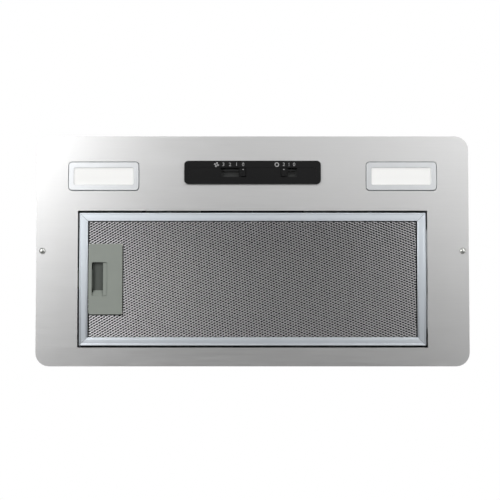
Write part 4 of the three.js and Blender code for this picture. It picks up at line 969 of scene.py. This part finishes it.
# ---- Fascia, screws, lamps and controls. Sizes are in millimetres ----
MARK_LINE = 9.8  # in front of the strip's middle
FAN_STEP, LAMP_STEP = -8.3, 6.5  # from one number to the next
DIGIT_SIZE = 6.2
INK_DEPTH = 0.04
INK_LAYER = (-0.03, 0.02)


def filter_opening(x, y, z):
    """The fascia with a clear dark line round the filter."""
    if abs(x) < 225 and -55 < y < 126:  # this holds the filter's opening and no other
        x += math.copysign(0.4, x)
        y += 0.7 if y > 0 else -0.9
    return x, y, z


def fascia():
    refined("fascia", "fascia_pan", 0.35, 3, filter_opening)
    dome_screw("dome_screw_left", "fixing_screw_left")
    dome_screw("dome_screw_right", "fixing_screw_right")


def dome_screw(name, node):
    """A raised-head screw: a smooth dome and a pointed shank."""
    low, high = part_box(node)
    at = Vector(((low.x + high.x) / 2, (low.y + high.y) / 2, 0))
    radius, height, neck, shank, point = 4, 2.2, 3.6, 1.9, 3
    seat = low.z / MM + height
    angles = [math.radians(a) for a in range(9, 91, 9)]
    head = [(0, seat - height)] + [(radius * math.sin(a), seat - height * math.cos(a)) for a in angles]
    tip = high.z / MM
    shaft = [(neck, seat + 0.02), (shank, seat + 0.02), (shank, tip - point), (0, tip)]
    hang(revolved(name, head + shaft, at, sides=48), BODY[node], SLOT[node], node)


def lamps():
    for side in ("left", "right"):
        refined(f"lamp_bezel_{side}", f"lamp_frame_{side}", 0.4, 3)
        refined(f"lamp_diffuser_{side}", f"lamp_lens_{side}", 0.2)
        refined(f"lamp_tray_{side}", f"lamp_housing_{side}", 0.3)
        refined(f"led_board_{side}", f"lamp_board_{side}", 0.1, 1)
        low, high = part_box(f"led_board_{side}")
        chip = plate("chip", rounded_outline(3.5, 2.8, 0.3, 2), -0.7, -0.02)
        soften(chip, 0.12, 1)
        chip.data = plain_mesh(chip)
        count, inset = 6, 8 * MM
        start = (low.x + inset, (low.y + high.y) / 2, low.z)
        step = ((high.x - low.x - 2 * inset) / (count - 1), 0, 0)
        leds, = rows(f"lamp_leds_{side}", chip, count, [start], FINISH["diffuser"], step)
        hang(leds, "casing", "diffuser")


def controls():
    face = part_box("fan_knob")[0].z / MM

    def printed(x, y, z):
        """The knob's face set back by the ink that lies on it."""
        return x, y, z + INK_DEPTH if z < face + 0.01 else z

    refined("control_strip", "control_cover", 0.7, 3)
    refined("fan_knob", "fan_slider", 0.35, 3, printed)
    refined("lamp_knob", "lamp_slider", 0.35, 3, printed)
    refined("control_box", "control_housing", 0.4)
    refined("switch_board", "switch_card", 0.15, 1)
    lettering()


def lettering():
    """Numbers and two plain symbols beside the slots, and a dot on each knob, in thin ink."""
    strip_low, strip_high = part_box("control_strip")
    face = strip_low.z
    line = (strip_low.y + strip_high.y) / 2 - MARK_LINE * MM
    fan, lamp = ((low + high) / 2 for low, high in (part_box("fan_knob"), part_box("lamp_knob")))
    fan_step, lamp_step = FAN_STEP * MM, LAMP_STEP * MM
    marks = [(str(i), fan.x + fan_step * i) for i in range(4)]
    marks += [(str(2 - i), lamp.x + lamp_step * i) for i in range(3)]
    made = [digit(text, Vector((x, line, face))) for text, x in marks]
    made.append(fan_symbol(Vector((fan.x + 4.05 * fan_step, line, face))))
    below, above = INK_LAYER
    made.append(revolved("ring", [(2.9, below), (2.9, above), (1.75, above), (1.75, below)],
                         Vector((lamp.x - 1.35 * lamp_step, line, face)), sides=40))
    hang(joined("printed_marks", made), "casing", None, material=INK)
    radius, height, forward = 0.7, 0.1, 3.4
    for node, at in (("fan_knob", fan), ("lamp_knob", lamp)):
        place = Vector((at.x, at.y - forward * MM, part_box(node)[0].z))
        dot = revolved(f"{node}_dot", [(0, 0), (radius, 0), (radius, height), (0, height)], place, sides=20)
        hang(dot, BODY[node], None, material=INK)


def digit(text, at):
    """One printed number that is read from below, with the front edge up."""
    curve = bpy.data.curves.new("digit", "FONT")
    curve.body = text
    curve.size = DIGIT_SIZE * MM
    curve.extrude = INK_DEPTH / 2 * MM
    curve.align_x = "CENTER"
    curve.align_y = "CENTER"
    curve.resolution_u = 4
    return made_mesh(curve, Matrix.Translation(at) @ Matrix.Rotation(math.pi, 4, "X"))


def fan_symbol(at):
    """Four swept blades round a hub."""
    blade = plate("blade", arc(1.9, 0.55, 1.25, 150, -30, 6) + [(1.6, -0.25), (0.5, 0.0)], *INK_LAYER)
    return wheel("fan_symbol", blade, 4, at, (0, 0, 1), INK)


# ---- Casing, collar and what passes through the top. Sizes are in millimetres ----


def rivet(axis="Z", radius=2.4):
    """A flat dome head, standing out along an axis from the origin."""
    h = radius * 0.45
    profile = [(0, h), (radius * 0.5, h * 0.88), (radius * 0.85, h * 0.5), (radius, 0.0), (0, -0.02)]
    return revolved("rivet", profile, (0, 0, 0), axis, sides=14)


def casing():
    refined("casing_wrap", "casing_sheet", 0.25)
    refined("end_panel_left", "casing_end_left", 0.25)
    refined("end_panel_right", "casing_end_right", 0.25)
    for side in ("left", "right"):
        for end in ("front", "rear"):
            refined(f"spring_clip_{side}_{end}", f"cabinet_clip_{side}_{end}", 0.2)
    low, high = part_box("casing_wrap")
    edge, inset, count = 5 * MM, 18 * MM, 5
    lines, top = (low.x + edge, high.x - edge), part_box("end_panel_left")[1].z
    starts = [(x, low.y + inset, top) for x in lines]
    step = (0, (high.y - low.y - 2 * inset) / (count - 1), 0)
    heads = rows("top_rivets", rivet(), count, starts, FINISH["zinc"], step)
    for y, turn in ((low.y, math.pi), (high.y, 0)):
        head = rivet("X")
        head.data.transform(Matrix.Rotation(turn + math.pi / 2, 4, "Z"))
        starts = [(x, y, 30 * MM) for x in lines]
        heads += rows("side_rivets", head, 3, starts, FINISH["zinc"], (0, 0, 52 * MM))
    hang(joined("casing_rivets", heads), "casing", "zinc")


def collar():
    """Moulded duct collar: rounded base plate on four screws, ring with a bead and grip ribs."""
    refined("outlet_collar", "duct_collar", 0.5)
    refined("flap_front", "duct_flap_front", 0.25)
    refined("flap_rear", "duct_flap_rear", 0.25)
    refined("cable_gland", "cable_bush", 0.4)
    low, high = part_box("outlet_collar")
    middle = (low + high) / 2
    inset, top = 9 * MM, low.z + 3 * MM
    starts = [(x, low.y + inset, top) for x in (low.x + inset, high.x - inset)]
    step = (0, high.y - low.y - 2 * inset, 0)
    heads = rows("collar_screws", rivet(radius=3.2), 2, starts, FINISH["zinc"], step)
    hang(joined("collar_screw_heads", heads), "casing", "zinc")
    ring_radius, rib_out = 74.4 * MM, 1.2 * MM
    rib = plate("rib", rounded_outline(3.2, 1.4, 0.6, 3), 2.9, 26, (ring_radius + rib_out, 0, low.z))
    centre = (middle.x, middle.y, 0)
    ribs = wheel("collar_ribs", rib, 24, centre, (0, 0, 1), FINISH["black_plastic"])
    hang(ribs, "casing", "black_plastic")


# ---- Blower and motor. Sizes are in millimetres ----
SHAFT_Y, SHAFT_Z = 28.0, 89.97
# Profiles about the shaft: radius, and place along it.
HUB_AND_DISC = [
    (4.3, -7), (10.5, -7), (11, -6.5), (11, -1), (55, -1), (55, 1), (11, 1), (11, 15.5),
    (10.5, 16), (4.3, 16),
]
MOTOR = {
    # node: the piece's name, and its profile
    "motor_can": ("motor_shell", [
        (34.5, -66.3), (34.5, -12.5), (33.8, -10.8), (32, -10), (6, -10), (6, -11.6), (8.3, -11.6),
        (8.3, -17.9), (11, -17.9), (11, -11.6), (32.9, -11.6), (32.9, -66.3),
    ]),
    "motor_end_cap": ("motor_cap", [
        (6, -68.2), (30, -68.2), (31.5, -67.9), (38.1, -68.2), (38.5, -67.8), (38.5, -66.6),
        (11, -66.6), (11, -60.3), (8.3, -60.3), (8.3, -66.6), (6, -66.6),
    ]),
    "motor_shaft": ("blower_shaft", [
        (0, -67.4), (3.7, -67.4), (4, -67.1), (4, 23.4), (3.4, 24), (0, 24),
    ]),
    "bearing_left": ("bush_left", [(4.3, -66.3), (8, -66.3), (8, -60.3), (4.3, -60.3)]),
    "bearing_right": ("bush_right", [(4.3, -17.9), (8, -17.9), (8, -11.9), (4.3, -11.9)]),
}


def blade_shape():
    """One forward-curved blade, hollow towards the way that the wheel turns."""
    inner, outer, sheet, half, steps = 44.5, 54.6, 0.9, 55.0, 6
    lean = math.radians(11)
    sides = ([], [])
    for i in range(steps + 1):
        share = i / steps
        r = inner + (outer - inner) * share
        turn = -lean * share * share
        for side, sign in zip(sides, (-0.5, 0.5)):
            bend = turn + sign * sheet / r
            side.append((r * math.cos(bend), r * math.sin(bend)))
    outline = sides[0] + sides[1][::-1]
    points = [mm(x, u, v) for x in (-half, half) for u, v in outline]
    return mesh_piece("blade", points, prism_faces(len(outline)))


def impeller():
    """Double-inlet wheel in one moulding: hub, middle disc, blades and a shroud ring at each end."""
    at = mm(0, SHAFT_Y, SHAFT_Z)
    blades = wheel("blades", blade_shape(), 28, at, (1, 0, 0), FINISH["dark_plastic"])
    disc = revolved("disc", HUB_AND_DISC, at, "X", 96)
    inner, outer = 51, 55
    rings = [
        revolved("shroud", [(inner, a), (outer, a), (outer, b), (inner, b)], at, "X", 96)
        for a, b in ((-56, -54), (54, 56))
    ]
    wheel_piece = joined("blower_wheel", [blades, disc, *rings])
    hang(wheel_piece, BODY["impeller"], SLOT["impeller"], "impeller")


def motor():
    at = mm(0, SHAFT_Y, SHAFT_Z)
    for node, (name, profile) in MOTOR.items():
        obj = revolved(name, profile, at, "X", 72)
        soften(obj, 0.15)
        hang(obj, BODY[node], SLOT[node], node)
    capacitor()
    for node, name, edge in (
        ("stator", "stator_stack", 0.2), ("rotor", "rotor_stack", 0.2), ("hub_nut", "wheel_nut", 0.3),
        ("motor_bracket", "motor_spider", 0.2), ("grommet_1", "mount_pad_1", 0.3),
        ("grommet_2", "mount_pad_2", 0.3), ("grommet_3", "mount_pad_3", 0.3),
    ):
        refined(node, name, edge)


def capacitor():
    """A drawn can whose rim is rolled over the lid, with a groove behind it."""
    low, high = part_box("run_capacitor")
    length = (high.x - low.x) / MM
    front, shoulder, radius, groove, rim = 12.6, 1.4, 14, 13.4, 12.8
    profile = [
        (0, 0), (front, 0), (radius, shoulder), (radius, length - 4), (groove, length - 3.4),
        (groove, length - 1), (rim, length), (0, length),
    ]
    can = revolved("capacitor_can", profile, (low.x, (low.y + high.y) / 2, (low.z + high.z) / 2), "X", 48)
    hang(can, "casing", SLOT["run_capacitor"], "run_capacitor")


def scroll():
    """Two moulded halves with screws through their outlet flange."""
    refined("scroll_left", "scroll_half_left", 0.4)
    refined("scroll_right", "scroll_half_right", 0.4)
    low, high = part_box("scroll_right")
    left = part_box("scroll_left")[0]
    edge, first, sheet = 5 * MM, 16 * MM, 2.3 * MM
    head = rivet(radius=2.8)
    head.data.transform(Matrix.Rotation(math.pi, 4, "X"))
    starts = [(x, low.y + first, high.z - sheet) for x in (left.x + edge, high.x - edge)]
    heads = rows("flange_screws", head, 3, starts, FINISH["zinc"], (0, 30 * MM, 0))
    hang(joined("scroll_screws", heads), "casing", "zinc")


# ---- Terminal box and leads. Sizes are in millimetres ----
LEAD_RADIUS, LAMP_LEAD_RADIUS = 2.6, 2.0
LEAD_GAP = 0.3  # between a lead's end and what it goes into
STRAIGHT = 10  # how far the motor's lead runs straight at its ends
STRIP_Y, LAMP_Y = -98.9, -94.3
MOTOR_EXIT = SHAFT_Z + 26.5


def electrics():
    """Terminal box, and leads whose points follow the routes of the CAD's solids."""
    refined("terminal_base", "terminal_plate", 0.3)
    refined("terminal_cover", "terminal_hood", 0.6, 3)
    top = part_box("control_box")[1].z / MM + LEAD_GAP
    cover_low, cover_high = (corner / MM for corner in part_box("terminal_cover"))
    motor_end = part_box("motor_end_cap")[0].x / MM - LEAD_GAP
    side = cover_high.x + LEAD_GAP
    across, entry = (cover_low.y + cover_high.y) / 2, (cover_low.z + cover_high.z) / 2
    paths = {
        "motor_lead": [
            (motor_end, SHAFT_Y, MOTOR_EXIT), (motor_end - STRAIGHT, SHAFT_Y, MOTOR_EXIT),
            ((motor_end + side) / 2, (SHAFT_Y + across) / 2, (MOTOR_EXIT + entry) / 2),
            (side + STRAIGHT, across, entry), (side, across, entry),
        ],
        "control_lead": [
            (-50, STRIP_Y, top), (-50, STRIP_Y, top + 12), (-66, STRIP_Y + 2, top + 30),
            (-110, STRIP_Y + 10, top + 62), (-153, cover_low.y - 46.3, entry - 14),
            (-165, cover_low.y - 12.3, entry), (-165, cover_low.y - LEAD_GAP, entry),
        ],
    }
    for node, points in paths.items():
        hang(tube(node + "_sleeve", points, LEAD_RADIUS), "casing", "cable", node)
    start, end, level, straight, sag = 79.3, 141.7, 7.9, 9, 3
    route = [
        (start, STRIP_Y, level), (start + straight, STRIP_Y, level),
        ((start + end) / 2, (STRIP_Y + LAMP_Y) / 2 - sag, level - sag),
        (end - straight, LAMP_Y, level), (end, LAMP_Y, level),
    ]
    for name, sign in (("left", -1), ("right", 1)):
        flex = tube(f"lamp_flex_{name}", [(sign * x, y, z) for x, y, z in route], LAMP_LEAD_RADIUS)
        hang(flex, "casing", "cable", f"lamp_lead_{name}")


# ---- The whole insert ----
camera()
studio()
floor()
fascia()
filter_rails()
filter_nets()
handle_and_latch()
lamps()
controls()
casing()
collar()
impeller()
motor()
scroll()
electrics()

scene.view_settings.view_transform = "Standard"
